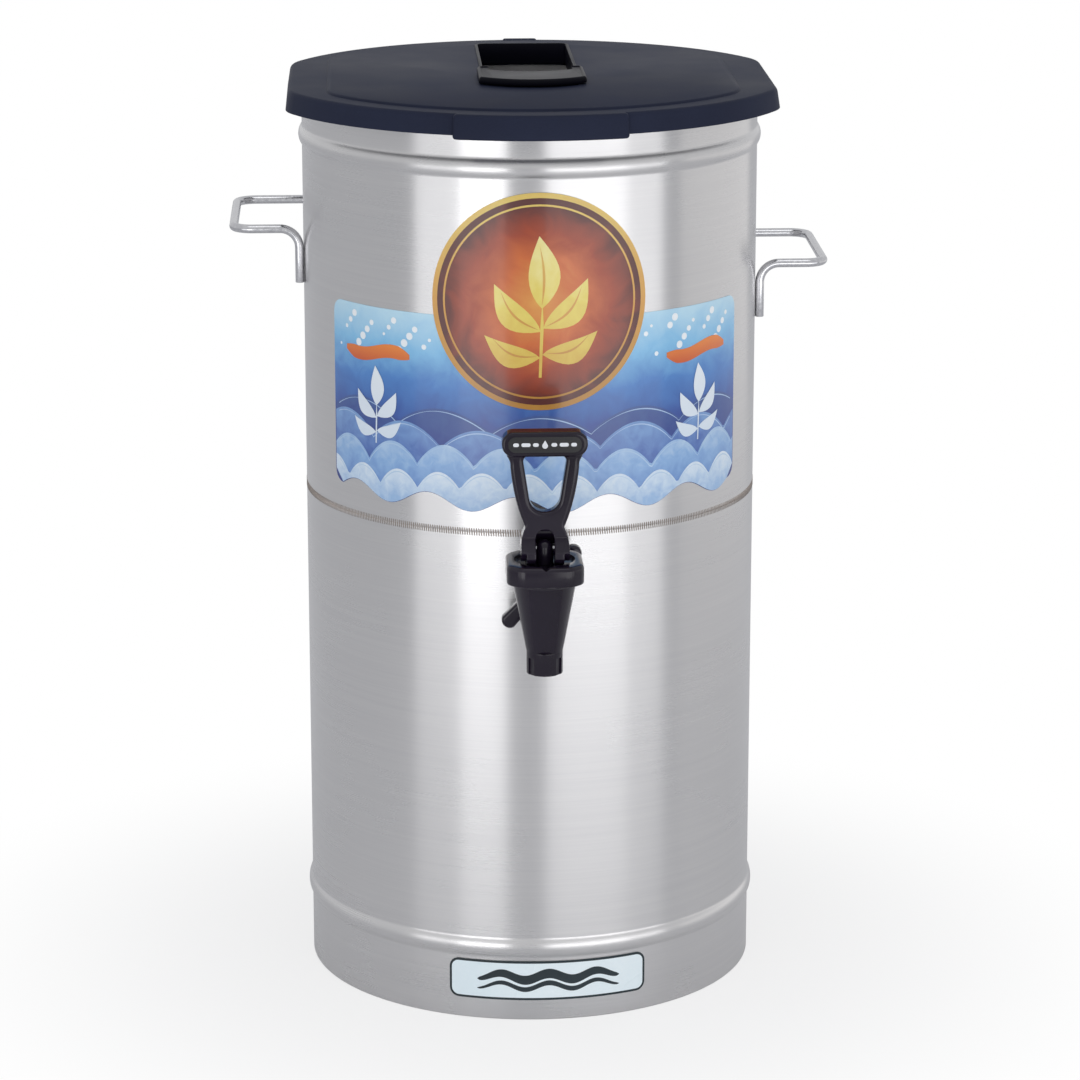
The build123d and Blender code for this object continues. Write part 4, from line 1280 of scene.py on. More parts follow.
@dataclass
class Faucet(OnShank):
    """Spout body with its tailpiece and the octagonal bonnet nut."""

    reach_y: float = -200.0
    tip_radius: float = 10.9
    tip_z: float = 244.5
    tip_height: float = 14.5
    bore: float = 6.5
    cone_radius: float = 18.75
    cone_top: float = 300.6
    flat_top: float = 20.0
    flat_low: float = 11.0
    collar_radius: float = 19.6
    collar_top: float = 302.0
    neck_radius: float = 15.0
    neck_inside: float = 12.9
    neck_top: float = 308.2
    seat_z: float = 272.0
    notch_turns: tuple[int, ...] = (50, -50, 130, -130)
    notch_half: float = 2.3
    tail_radius: float = 8.0
    tail_bore: float = 5.0
    tail_bore_end_y: float = -150.0
    tail_end_y: float = -155.0
    tail_collar_radius: float = 9.9
    tail_collar_y: tuple[float, float] = (-166.05, -168.85)
    bonnet_width: float = 45.6
    bonnet_flat: float = 30.0
    bonnet_low: float = 302.3
    bonnet_top: float = 314.5
    bonnet_floor: float = 312.0
    bonnet_ceiling: float = 309.2
    bonnet_front_y: float = -228.0
    recess: float = 18.0
    stem_radius: float = 5.2

    def spout_lathe(self, name: str, section: Points, steps: int = 72) -> Obj:
        """Spin radius and height round the spout's axis."""
        return lathe(name, upright(section, self.reach_y), (0, self.reach_y, 0), (0, 0, 1), steps)

    def tailpiece(self) -> Obj:
        """Build the tailpiece with its collar, up to the inside of the bowl.

        Returns:
            The tailpiece, without its bore.
        """
        radius, end, collar = self.tail_radius, self.tail_end_y, self.tail_collar_radius
        back, front = self.tail_collar_y
        return self.shank_lathe("tail", [
            (0, end), (radius - 0.6, end), (radius, end - 0.6), (radius, back), (collar, back), (collar, front),
            (radius, front), (radius, self.tail_root), (0, self.tail_root),
        ])

    @property
    def tail_root(self) -> float:
        """Depth at which the tailpiece ends inside the bowl's wall."""
        return self.reach_y + self.neck_inside + 0.3

    def spout(self) -> Obj:
        """Build the spout, its cone with a front flat, its tailpiece and its bores.

        Returns:
            The spout.
        """
        low = self.tip_z + self.tip_height
        tip, cone, collar, neck = self.tip_radius, self.cone_radius, self.collar_radius, self.neck_radius
        obj = self.spout_lathe("faucet_spout", [
            (self.bore, self.tip_z), (tip - 0.7, self.tip_z), (tip - 0.2, self.tip_z + 0.25),
            (tip, self.tip_z + 0.8), (tip, low - 1.2), (tip + 0.1, low), (tip + 0.42, low + 1.2),
            (cone, self.cone_top - 0.9), (collar - 0.4, self.cone_top), (collar, self.cone_top + 0.4),
            (collar, self.collar_top), (neck, self.collar_top), (neck, self.neck_top),
            (self.neck_inside, self.neck_top), (self.neck_inside, self.seat_z + 11),
            (self.neck_inside - 1.7, self.seat_z), (self.bore, self.seat_z), (self.bore, self.tip_z),
        ])
        top_y = self.reach_y - math.sqrt(cone**2 - (self.flat_top / 2) ** 2)
        low_y = self.reach_y - math.sqrt(tip**2 - (self.flat_low / 2) ** 2)
        far_y, high_z, low_z = self.reach_y - 40, self.cone_top - 0.6, low - 0.6
        side = [(top_y, high_z), (low_y, low_z), (far_y, low_z), (far_y, high_z)]
        cut(obj, prism("flat_tool", sideways(side, -30), (60, 0, 0)))
        cut(obj, self.tailpiece(), Cut.JOIN)
        start, end = self.tail_bore_end_y, self.tail_root - 3
        cut(obj, self.shank_lathe("tail_bore", [(0, start), (self.tail_bore, start), (self.tail_bore, end),
                                                (0, end)], 47))
        half, near = self.notch_half, 1.1 - tip
        for turn in self.notch_turns:
            outline = [(-half, near), (half, near), (half, -14), (-half, -14)]
            notch = prism("tip_slot", level(outline, self.tip_z - 1), (0, 0, 11.5))
            cut(obj, turned_to(notch, (0, self.reach_y, 0), turn, Axis.Z))
        soften(obj, 0.35, 2, 35)
        return obj

    def bonnet(self) -> Obj:
        """Build the nut: rounded chamfers, recess, stem hole and the small front notch.

        Returns:
            The nut.
        """
        half, flat = self.bonnet_width / 2, self.bonnet_flat / 2
        corners = [(half, -flat), (half, flat), (flat, half), (-flat, half), (-half, flat), (-half, -flat),
                   (-flat, -half), (flat, -half)]
        obj = prism("bonnet_nut", level([(x, self.reach_y + y) for x, y in corners], self.bonnet_low),
                    (0, 0, self.bonnet_top - self.bonnet_low))
        with editing(obj, Part.EDGE):
            for test, width, segments in (
                (lambda at, way: abs(way.z) > 0.9, 3.4, 6),
                (lambda at, way: at.z > self.bonnet_top - 0.1, 2.8, 5),
                (lambda at, way: at.z < self.bonnet_low + 0.1, 1.2, 3),
            ):
                pick(obj, Part.EDGE, test)
                bpy.ops.mesh.bevel(offset=width * MM, segments=segments)
        hole, socket = self.stem_radius + 0.05, self.neck_radius + 0.06
        cut(obj, self.spout_lathe("bonnet_bores", [
            (0, 300), (socket, 300), (socket, self.bonnet_ceiling), (hole, self.bonnet_ceiling),
            (hole, self.bonnet_floor), (self.recess, self.bonnet_floor), (self.recess, 320), (0, 320),
        ]))
        high, deep = self.bonnet_top + 0.3, self.bonnet_top - 2.1
        notch = upright([(-3.4, high), (0, deep), (3.4, high)], self.bonnet_front_y)
        cut(obj, prism("notch", notch, (0, 17.3, 0)))
        soften(obj, 0.3, 2, 40)
        return obj

    def build(self) -> None:
        """Make the faucet's fixed pieces and dress its hidden ones."""
        finish(self.spout(), Body.TANK, FAUCET_PLASTIC, "faucet_body")
        finish(self.bonnet(), Body.TANK, FAUCET_PLASTIC, "bonnet")
        dress(NUT_NYLON, "shank", "shank_locknut")
        dress(RUBBER, "shank_washer_outer", "shank_washer_inner", "tailpiece_o_ring")
        dress(SILICONE, "seat_cup")
        dress(SPRING_STEEL, "stem_spring", "lever_pin")
        dress(FAUCET_PLASTIC, "valve_stem")


@dataclass
class WingNut(OnShank):
    """Hub with two flat wings that holds the faucet on its shank."""

    hub_radius: float = 13.5
    back_y: float = -151.5
    front_y: float = -171.6
    bore: float = 10.06
    mouth: float = 8.25
    mouth_depth: float = 2.7
    tip_radius: float = 33.0
    width: float = 10.0
    depth: float = 8.0
    angle: float = 47.0

    def wing(self, turn: float) -> Obj:
        """Build one wing.

        Args:
            turn: Which way it points, in degrees.

        Returns:
            The wing.
        """
        reach = self.tip_radius - self.width / 2
        root, waist = self.width * 0.62, self.width * 0.42
        outline = [(0, -root), (reach * 0.55, -waist)] + arc((reach, 0), self.width / 2, -70, 70, 8)
        outline += [(reach * 0.55, waist), (0, root)]
        front = (self.back_y + self.front_y) / 2 - self.depth / 2
        obj = prism("wing", upright(outline, front), (0, self.depth, 0))
        soften(obj, 1.8, 4, 40)
        return turned_to(obj, (0, 0, self.shank_z), -turn, Axis.Y)

    def build(self) -> None:
        """Spin the hub, add the wings and bore it."""
        front, back, hub_radius = self.front_y, self.back_y, self.hub_radius
        hub = self.shank_lathe("wing_hub", [
            (0, back), (hub_radius - 1, back), (hub_radius, back - 1), (hub_radius, front + 3),
            (hub_radius - 1.4, front + 0.8), (hub_radius - 3, front), (0, front),
        ])
        for turn in (self.angle, self.angle + 180):
            cut(hub, self.wing(turn), Cut.JOIN)
        step = front + self.mouth_depth
        cut(hub, self.shank_lathe("thread", [
            (0, back + 1), (self.bore, back + 1), (self.bore, step), (self.mouth, step), (self.mouth, front - 1),
            (0, front - 1),
        ], 47))
        soften(hub, 0.4, 2, 40)
        hub.name = "wing_nut_moulding"
        finish(hub, Body.WING_NUT, FAUCET_PLASTIC, "wing_nut")


@dataclass
class Lever:
    """Moulded lever: cam block, frame with a finger window and a label tab."""

    y: float = -200.0
    pin_z: float = 321.2
    pin_hole: float = 2.05
    contact_z: float = 312.2
    rim_z: float = 314.8
    cam_base: float = 5.7296
    swing: float = 55.0
    heel_back: float = 8.0
    heel_width: float = 22.0
    block_width: float = 28.6
    block_top: float = 329.0
    slot_width: float = 11.0
    slot_top: float = 331.5
    neck_width: float = 21.0
    neck_z: float = 334.0
    middle_width: float = 35.8
    middle_z: float = 355.0
    top_width: float = 42.0
    depth: float = 10.0
    window_low: float = 343.8
    window_top: float = 377.5
    window_width: float = 25.2
    window_radius: float = 9.2
    window_corner: float = 3.0
    tab_width: float = 50.5
    tab_height: float = 15.0
    tab_depth: float = 12.0
    tab_top: float = 392.5
    label_size: tuple[float, float] = (43.0, 9.5)
    label_bars: tuple[tuple[float, float], ...] = ((5.4, 3.4), (11.2, 5.4), (17.0, 3.4))
    voxel: float = 0.42
    clear_low: float = 305.0
    clear_y: float = -260.0

    @property
    def tab_middle(self) -> float:
        """Height of the tab's middle."""
        return self.tab_top - self.tab_height / 2

    @property
    def tab_front(self) -> float:
        """Depth of the tab's front."""
        return self.y - self.tab_depth / 2

    def cam(self, drop: float) -> Points:
        """Involute heel that lifts the stem in step with the lever's angle.

        Args:
            drop: How far below the pin it lies at rest.

        Returns:
            Points of y and z from the back to the front.
        """
        points = []
        for step in range(13):
            turn = math.radians(self.swing * step / 12)
            reach = drop + self.cam_base * turn
            forward = reach * math.sin(turn) + self.cam_base * math.cos(turn)
            down = reach * math.cos(turn) - self.cam_base * math.sin(turn)
            points.append((self.y - forward, self.pin_z - down))
        return points

    def block(self) -> Obj:
        """Build the forked block with its heel, tapered neck, cheeks and stem slot.

        Returns:
            The block.
        """
        half, y = self.block_width / 2, self.y
        heel = self.cam(self.pin_z - self.contact_z)
        side = heel + [
            (heel[-1][0], self.pin_z), (y - 5, self.block_top), (y - 5, self.neck_z + 3), (y + 5, self.neck_z + 3),
            (y + 5, self.block_top), (y + self.heel_back, self.pin_z), (y + self.heel_back, self.contact_z),
        ]
        obj = prism("lever_block", sideways(side, -half), (2 * half, 0, 0))
        neck = self.neck_width / 2
        right = [(half, self.pin_z + 3), (half - 0.5, self.block_top - 1), (half - 1.6, self.neck_z - 2.2),
                 (neck + 1.2, self.neck_z), (neck, self.neck_z + 2), (neck, 345)]
        front = [(-half, self.clear_low), (half, self.clear_low)] + right + mirrored(right)
        cut(obj, prism("taper", upright(front, self.clear_y), (0, 100, 0)), Cut.KEEP_SHARED)
        self.relieve_cheeks(obj)
        slot = [(-self.slot_width / 2, self.clear_low), (self.slot_width / 2, self.clear_low)]
        slot += arc((0, self.slot_top - 3.5), self.slot_width / 2, 0, 180, 8)
        cut(obj, prism("fork", upright(slot, self.clear_y), (0, 100, 0)))
        return obj

    def relieve_cheeks(self, obj: Obj) -> None:
        """Cut the cheeks beside the heel back so that they clear the bonnet's rim as the lever swings.

        Args:
            obj: The block.
        """
        half, heel = self.block_width / 2, self.heel_width / 2
        shoulder = self.cam(self.pin_z - self.rim_z)
        turn = math.radians(self.swing)
        far = Vector(shoulder[-1]) + Vector((-math.cos(turn), math.sin(turn))) * 20
        room = shoulder + [tuple(far), (far.x, self.clear_low), (self.y + 12, self.clear_low),
                           (self.y + 12, shoulder[0][1])]
        for start in (-half - 1, heel):
            cut(obj, prism("cheek", sideways(room, start), (half + 1 - heel, 0, 0)))

    def web(self) -> Obj:
        """Build the thin web that closes the back of the fork above the pin.

        Returns:
            The web.
        """
        low, shoulder, high = self.pin_z + 0.8, self.block_top, self.slot_top + 3
        back = [(5.9, low), (7.9, low), (4.95, shoulder), (4.95, high), (3, high), (3, shoulder)]
        half = self.slot_width / 2 + 0.5
        return prism("lever_web", sideways([(self.y + y, z) for y, z in back], -half), (2 * half, 0, 0))

    def window(self) -> Points:
        """Outline of the D-shaped window, small top corners joined to a round bottom by tangents.

        Returns:
            Points of x and z, anticlockwise from the front.
        """
        top = Vector((self.window_width / 2 - self.window_corner, self.window_top - self.window_corner))
        low = Vector((0, self.window_low + self.window_radius))
        span = top - low
        spread = math.acos((self.window_radius - self.window_corner) / span.length)
        lean = math.degrees(math.atan2(span.y, span.x) - spread)
        right = arc(top, self.window_corner, lean, 90, 5)
        left = arc((-top.x, top.y), self.window_corner, 90, 180 - lean, 5)
        return right + left + arc(low, self.window_radius, 180 - lean, 360 + lean, 14)

    def frame(self) -> Obj:
        """Build the plate with curved legs round the window.

        Returns:
            The frame.
        """
        foot = (self.neck_width / 2, self.neck_z - 2)
        knee = (self.middle_width / 2, self.middle_z)
        top = (self.top_width / 2, self.window_top + 5)
        leg = []
        for t in [step / 14 for step in range(15)]:
            a, b, c = (1 - t) * (1 - 2 * t), 4 * t * (1 - t), t * (2 * t - 1)
            leg.append((a * foot[0] + b * knee[0] + c * top[0], a * foot[1] + b * knee[1] + c * top[1]))
        leg = [point for point in leg if point[1] < self.window_top - 6]
        leg += [(top[0] + out, self.window_top + up) for out, up in
                ((-0.75, -5), (-0.4, -3), (0.35, -1.4), (1.2, 0.1), (1.5, 1.6), (-1.0, 5))]
        front = self.y - self.depth / 2
        obj = prism("lever_frame", upright(leg + mirrored(leg), front), (0, self.depth, 0))
        cut(obj, prism("window", upright(self.window(), front - 3), (0, self.depth + 6, 0)))
        soften(obj, 2.2, 4, 50)
        return obj

    def tab_sheet(self, outline: Points, proud: float) -> list[Place]:
        """Stand an outline drawn round the tab's middle in front of the tab's face.

        Args:
            outline: Points of x and z.
            proud: How far in front of the face it stands.

        Returns:
            The points.
        """
        return upright([(x, z + self.tab_middle) for x, z in outline], self.tab_front - proud)

    def tab(self) -> Obj:
        """Build the rounded bar that carries the label.

        Returns:
            The bar.
        """
        outline = rounded_box(self.tab_width, self.tab_height, self.tab_height / 2 - 0.5, 8)
        obj = prism("lever_tab", self.tab_sheet(outline, 0), (0, self.tab_depth, 0))
        soften(obj, 1.6, 4, 50)
        return obj

    def build(self) -> None:
        """Fuse the lever and add its label."""
        obj = join(self.block(), self.web(), self.frame(), self.tab())
        obj.name = "lever_moulding"
        mould(obj, self.voxel, 3)
        section = [(x, self.y, self.pin_z + r) for x, r in
                   ((-20, 0), (-20, self.pin_hole), (20, self.pin_hole), (20, 0))]
        cut(obj, lathe("pin_hole", section, (0, self.y, self.pin_z), (1, 0, 0), 24))
        finish(obj, Body.LEVER, FAUCET_PLASTIC, "lever_handle", angle=50)
        self.label()

    def label(self) -> None:
        """Build the label: a black film with a plain drop between rows of short bars."""
        film = prism("label_film", self.tab_sheet(rounded_box(*self.label_size, 4.25, 6), -0.05), (0, -0.25, 0))
        finish(film, Body.LEVER, LABEL_BLACK, "lever_label")
        drop = [(0, 2.7)] + arc((0, -0.6), 1.7, 40, -220, 12)
        marks = [plate("label_marks", self.tab_sheet(drop, 0.2))]
        for side in (-1, 1):
            for place, length in self.label_bars:
                bar = [(x + side * place, z) for x, z in rounded_box(length, 2.2, 1.0, 3)]
                marks.append(plate("mark", self.tab_sheet(bar, 0.2)))
        ring = join(*marks)
        thicken(ring, 0.09, 0.0)
        finish(ring, Body.LEVER, LABEL_WHITE)


@dataclass
class WrapPrint:
    """Shapes drawn flat as length round the wall and height, then bent round the tank."""

    radius: float = 142.0
    strip: float = 3.0

    def wrapped(self, name: str, outlines: Sequence[Points], gap: float, thickness: float, turn: float = 0.0,
                rings: float = 0.0) -> Obj:
        """Make one piece of film from flat outlines.

        Args:
            name: The piece's name.
            outlines: Closed outlines of arc length and height.
            gap: Distance of its back from the wall.
            thickness: Its thickness.
            turn: Degrees that it is turned about the tank's axis.
            rings: Where above zero, only a rim of this width is kept.

        Returns:
            The new film.
        """
        obj = join(*[plate(name, upright(points, 0)) for points in outlines])
        with editing(obj, Part.FACE):
            if rings:
                bpy.ops.mesh.inset(thickness=rings * MM, use_individual=True)
                bpy.ops.mesh.delete(type="FACE")
            xs = [x for points in outlines for x, _ in points]
            for index in range(math.ceil(min(xs) / self.strip), math.floor(max(xs) / self.strip) + 1):
                everything()
                bpy.ops.mesh.bisect(plane_co=(index * self.strip * MM, 0, 0), plane_no=(1, 0, 0))
        around = (self.radius + gap) * MM
        for vertex in obj.data.vertices:
            angle = vertex.co.x / MM / self.radius + math.radians(turn)
            vertex.co = (around * math.sin(angle), -around * math.cos(angle), vertex.co.z)
        with editing(obj, Part.FACE):
            if pick(obj, Part.FACE, lambda at, up: up.dot(Vector((at.x, at.y, 0))) < 0):
                bpy.ops.mesh.flip_normals()
        thicken(obj, thickness, 1.0)
        return obj

    @staticmethod
    def stroke(line: Points, halves: Sequence[float]) -> Points:
        """Outline of a stroke along a line.

        Args:
            line: The line's points from left to right.
            halves: Half the stroke's thickness at each point.

        Returns:
            The outline.
        """
        lower = [(x, z - half) for (x, z), half in zip(line, halves)]
        upper = [(x, z + half) for (x, z), half in zip(line, halves)]
        return lower + upper[::-1]


@dataclass
class FrontPrint(WrapPrint):
    """Generic tea print: a water-blue band, rolling waves, an amber roundel and a leaf sprig."""

    half: float = 148.0
    low: float = 332.0
    high: float = 447.0
    corner: float = 8.0
    margin: float = 1.0
    waves: int = 10
    wave_height: float = 5.0
    roundel: float = 66.0
    roundel_z: float = 457.0
    disc: float = 63.5
    fine_ring: float = 59.0
    ring_widths: tuple[float, float] = (3.2, 1.2)
    sprig_drop: float = 40.0
    side_x: float = 108.0
    side_z: float = 366.0
    side_size: float = 0.56
    drop_count: int = 64

    @property
    def inner(self) -> float:
        """Length from the middle to where the band's corners start."""
        return self.half - self.corner

    def foot(self, x: float) -> float:
        """Height of the film's waved lower edge at a place along it."""
        step = 2 * self.inner / self.waves
        return self.low + self.wave_height * math.sin(math.pi * (x + self.inner) / step)

    def base(self) -> Obj:
        """Build the film with the band's and the roundel's outline.

        Returns:
            The film.
        """
        edge, low, high = self.inner, self.low + self.corner, self.high - self.corner
        lift = math.degrees(math.asin((self.high - self.roundel_z) / self.roundel))
        band = [(x, self.foot(x)) for x in [-edge + i * 2 * edge / 100 for i in range(101)]]
        band += arc((edge, low), self.corner, -90, 0, 5) + arc((edge, high), self.corner, 0, 90, 5)
        band += arc((0, self.roundel_z), self.roundel, lift, 180 - lift, 48)
        band += arc((-edge, high), self.corner, 90, 180, 5) + arc((-edge, low), self.corner, 180, 270, 5)
        return self.wrapped("film_band", [band], 0.15, 0.1)

    def crest(self, top: float, swell: float, length: float, phase: float) -> Points:
        """Rolling crest line from one end of the band to the other.

        Args:
            top: Mean height of the crest.
            swell: Height of its swell.
            length: Length of a wave.
            phase: Where the first wave starts.

        Returns:
            The points from left to right.
        """
        edge = self.half - self.margin
        points = []
        for x in [-edge + index * edge / 80 for index in range(161)]:
            roll = math.sin(math.pi * (((x + phase) / length) % 1.0)) ** 0.8
            points.append((x, top + swell * roll + 1.5 * math.sin(x / 31 + phase)))
        return points

    def wave(self, name: str, crest: Points, gap: float) -> Obj:
        """Build one layer of waves that fills the film below a crest.

        Args:
            name: The piece's name.
            crest: The crest's points from left to right.
            gap: Distance from the wall.

        Returns:
            The layer.
        """
        edge, low = self.half - self.margin, self.low + self.corner
        foot = [(x, self.foot(x) + 0.3) for x, _ in crest if abs(x) < self.inner]
        return self.wrapped(name, [foot + [(edge, low)] + crest[::-1] + [(-edge, low)]], gap, 0.05)

    def crest_line(self, name: str, crest: Points, gap: float) -> Obj:
        """Build a fine pale line that follows a crest just below it.

        Args:
            name: The piece's name.
            crest: The crest's points from left to right.
            gap: Distance from the wall.

        Returns:
            The line.
        """
        run = crest[2:-2]
        upper = [(x, z - 1.5) for x, z in run]
        lower = [(x, z - 2.0 - 0.25 * math.sin(x / 9)) for x, z in run]
        return self.wrapped(name, [upper + lower[::-1]], gap, 0.04)

    @staticmethod
    def leaf(x: float, z: float, length: float, width: float, angle: float, bend: float) -> Points:
        """Outline of a pointed, slightly bent leaf.

        Args:
            x: Place of its stalk end along the wall.
            z: Height of its stalk end.
            length: Its length.
            width: Its width.
            angle: Which way it points, in degrees.
            bend: How much it bends, as a share of its length.

        Returns:
            The points.
        """
        turn = math.radians(angle)
        shares = [i / 12 for i in range(13)]
        points = []
        for side, t in [(1, t) for t in shares] + [(-1, t) for t in shares[-2:0:-1]]:
            across = side * width / 2 * math.sin(math.pi * t**0.85) + bend * length * math.sin(math.pi * t)
            along = length * t
            points.append((x + along * math.cos(turn) - across * math.sin(turn),
                           z + along * math.sin(turn) + across * math.cos(turn)))
        return points

    def sprig(self, x: float, z: float, size: float) -> list[Points]:
        """Outlines of a tea sprig: a stalk, a tip leaf and two pairs of leaves.

        Args:
            x: Place of its foot along the wall.
            z: Height of its foot.
            size: Its size, 1 for the roundel's.

        Returns:
            The outlines.
        """
        stalk = [(-0.8, -6), (0.9, -6), (2.2, 26), (1.4, 40), (0.2, 26)]
        leaves = [self.leaf(*shape) for shape in (
            (1.2, 36, 44, 19, 92, -0.05), (2.0, 24, 40, 16, 48, -0.14), (0.4, 22, 40, 16, 134, 0.14),
            (1.4, 8, 36, 14, 22, -0.16), (0.0, 6, 36, 14, 158, 0.16),
        )]
        return [[(x + size * px, z + size * pz) for px, pz in shape] for shape in [stalk] + leaves]

    def veins(self) -> list[Points]:
        """Outlines of the fine middle veins on the roundel's leaves.

        Returns:
            The outlines.
        """
        foot = self.roundel_z - self.sprig_drop
        return [self.leaf(x, foot + z, *shape) for x, z, *shape in (
            (1.2, 38, 36, 1.5, 92, -0.05), (3.0, 25, 33, 1.4, 48, -0.14), (-0.6, 23, 33, 1.4, 134, 0.14),
            (3.0, 9, 29, 1.3, 22, -0.16), (-1.6, 7, 29, 1.3, 158, 0.16),
        )]

    def ribbons(self) -> list[Points]:
        """Outlines of the waved ribbons over the small sprigs.

        Returns:
            The outlines.
        """
        xs = range(-26, 27, 2)
        halves = [4.2 * min(1.0, (27.5 - abs(x)) / 9) ** 0.6 for x in xs]
        return [self.stroke([(side * self.side_x + x, 419 + 2.2 * math.sin(x / 8.3)) for x in xs], halves)
                for side in (-1, 1)]

    def drops(self) -> list[Points]:
        """Outlines of the small round drops over the band's top, spread without a pattern.

        Returns:
            The outlines.
        """
        found = []
        for index in range(self.drop_count):
            x = -140 + (index * 61.8) % 280
            z = 420 + 22 * ((index * 0.754877) % 1.0)
            size = 0.9 + 1.5 * abs(math.sin(index * 2.399963))
            if math.hypot(x, z - self.roundel_z) > self.roundel + 4 and abs(x) < self.half - 4:
                found.append(arc((x, z), size, 0, 330, 11))
        return found

    def circle(self, radius: float, steps: int = 96) -> Points:
        """Outline of a circle round the roundel's middle."""
        return arc((0, self.roundel_z), radius, 0, 360 * (steps - 1) / steps, steps - 1)

    def inks(self) -> dict[Ink, Material]:
        """Mix the print's inks.

        Returns:
            The material of each ink.
        """
        inks = {
            ink: RisingInk("vinyl_print_" + ink.value, stops=stops, low_mm=low, high_mm=high, mottle_mm=clouds,
                           mottle=mottle).material()
            for ink, low, high, clouds, mottle, stops in (
                (Ink.WATER_BLUE, 335, 447, 14, 0.18, ((0.0, "#2a3a86"), (0.4, "#34509f"), (0.62, "#4f86cb"),
                                                    (0.8, "#86c3ec"), (1.0, "#bfe3f6"))),
                (Ink.DEEP_BLUE, 335, 392, 9, 0.5, ((0.0, "#22306e"), (0.5, "#2f4390"), (1.0, "#46639f"))),
                (Ink.DUSK_BLUE, 335, 382, 8, 0.7, ((0.0, "#3a4a8c"), (0.5, "#5273b8"), (1.0, "#7fa6d9"))),
                (Ink.MID_BLUE, 332, 376, 7, 0.7, ((0.0, "#5f86c9"), (0.5, "#8db4e2"), (1.0, "#c7dff4"))),
                (Ink.FOAM, 328, 358, 5, 0.8, ((0.0, "#9dbfe6"), (0.5, "#cfe2f5"), (1.0, "#eef6fc"))),
                (Ink.RED_ORANGE, 408, 424, 14, 0.18, ((0.0, "#c23a22"), (1.0, "#ee8a3f"))),
                (Ink.GOLD, 391, 523, 12, 0.4, ((0.0, "#b98438"), (0.5, "#d9a14f"), (1.0, "#e6c96a"))),
                (Ink.LEAF_YELLOW, 415, 500, 10, 0.6, ((0.0, "#d9b54e"), (0.5, "#e8d56a"), (1.0, "#f3e9a4"))),
                (Ink.CREST_LINE, 340, 395, 14, 0.18, ((0.0, "#bcd6ee"), (1.0, "#a8c4e8"))),
                (Ink.WHITE, 360, 440, 14, 0.18, ((0.0, "#dbe9f7"), (1.0, "#f6fafd"))),
            )
        }
        glow = ((0.0, "#e3a04e"), (0.4, "#cf6a30"), (0.72, "#a2401f"), (1.0, "#5a2a26"))
        inks[Ink.AMBER] = GlowInk("vinyl_print_amber", stops=glow, middle_z_mm=self.roundel_z, radius_mm=60,
                                mottle=0.4).material()
        return inks

    def build(self) -> None:
        """Make every layer of the print, each a little prouder than the one it lies on."""
        inks = self.inks()
        layers = [(self.base(), Ink.WATER_BLUE, "front_decal")]
        for name, shape, gap, ink in (
            ("back", (377, 12, 61, 30), 0.27, Ink.DEEP_BLUE), ("rear", (366, 13, 49, 12), 0.33, Ink.DUSK_BLUE),
            ("middle", (353, 13, 37, 3), 0.39, Ink.MID_BLUE), ("front", (339, 11, 28, 21), 0.45, Ink.FOAM),
        ):
            crest = self.crest(*shape)
            layers.append((self.wave("film_wave_" + name, crest, gap), ink, ""))
            layers.append((self.crest_line("film_crest_" + name, crest, gap + 0.05), Ink.CREST_LINE, ""))
        wide, narrow = self.ring_widths
        disc = self.wrapped("film_roundel", [self.circle(self.disc)], 0.34, 0.22)
        rings = self.wrapped("film_rings", [self.circle(self.roundel)], 0.34, 0.26, rings=wide)
        fine_ring = self.wrapped("film_ring_fine", [self.circle(self.fine_ring)], 0.5, 0.1, rings=narrow)
        sprig = self.sprig(0, self.roundel_z - self.sprig_drop, 1.0)
        small = [outline for side in (-1, 1) for outline in self.sprig(side * self.side_x, self.side_z,
                                                                        self.side_size)]
        layers += [
            (disc, Ink.AMBER, ""),
            (join(rings, fine_ring), Ink.GOLD, ""),
            (self.wrapped("film_sprig", sprig, 0.55, 0.06), Ink.LEAF_YELLOW, ""),
            (self.wrapped("film_sprig_veins", self.veins(), 0.6, 0.06), Ink.GOLD, ""),
            (self.wrapped("film_small_sprigs", small, 0.52, 0.05), Ink.WHITE, ""),
            (self.wrapped("film_ribbons", self.ribbons(), 0.34, 0.06), Ink.RED_ORANGE, ""),
            (self.wrapped("film_drops", self.drops(), 0.27, 0.05), Ink.WHITE, ""),
        ]
        for obj, ink, replaced in layers:
            finish(obj, Body.TANK, inks[ink], replaced)


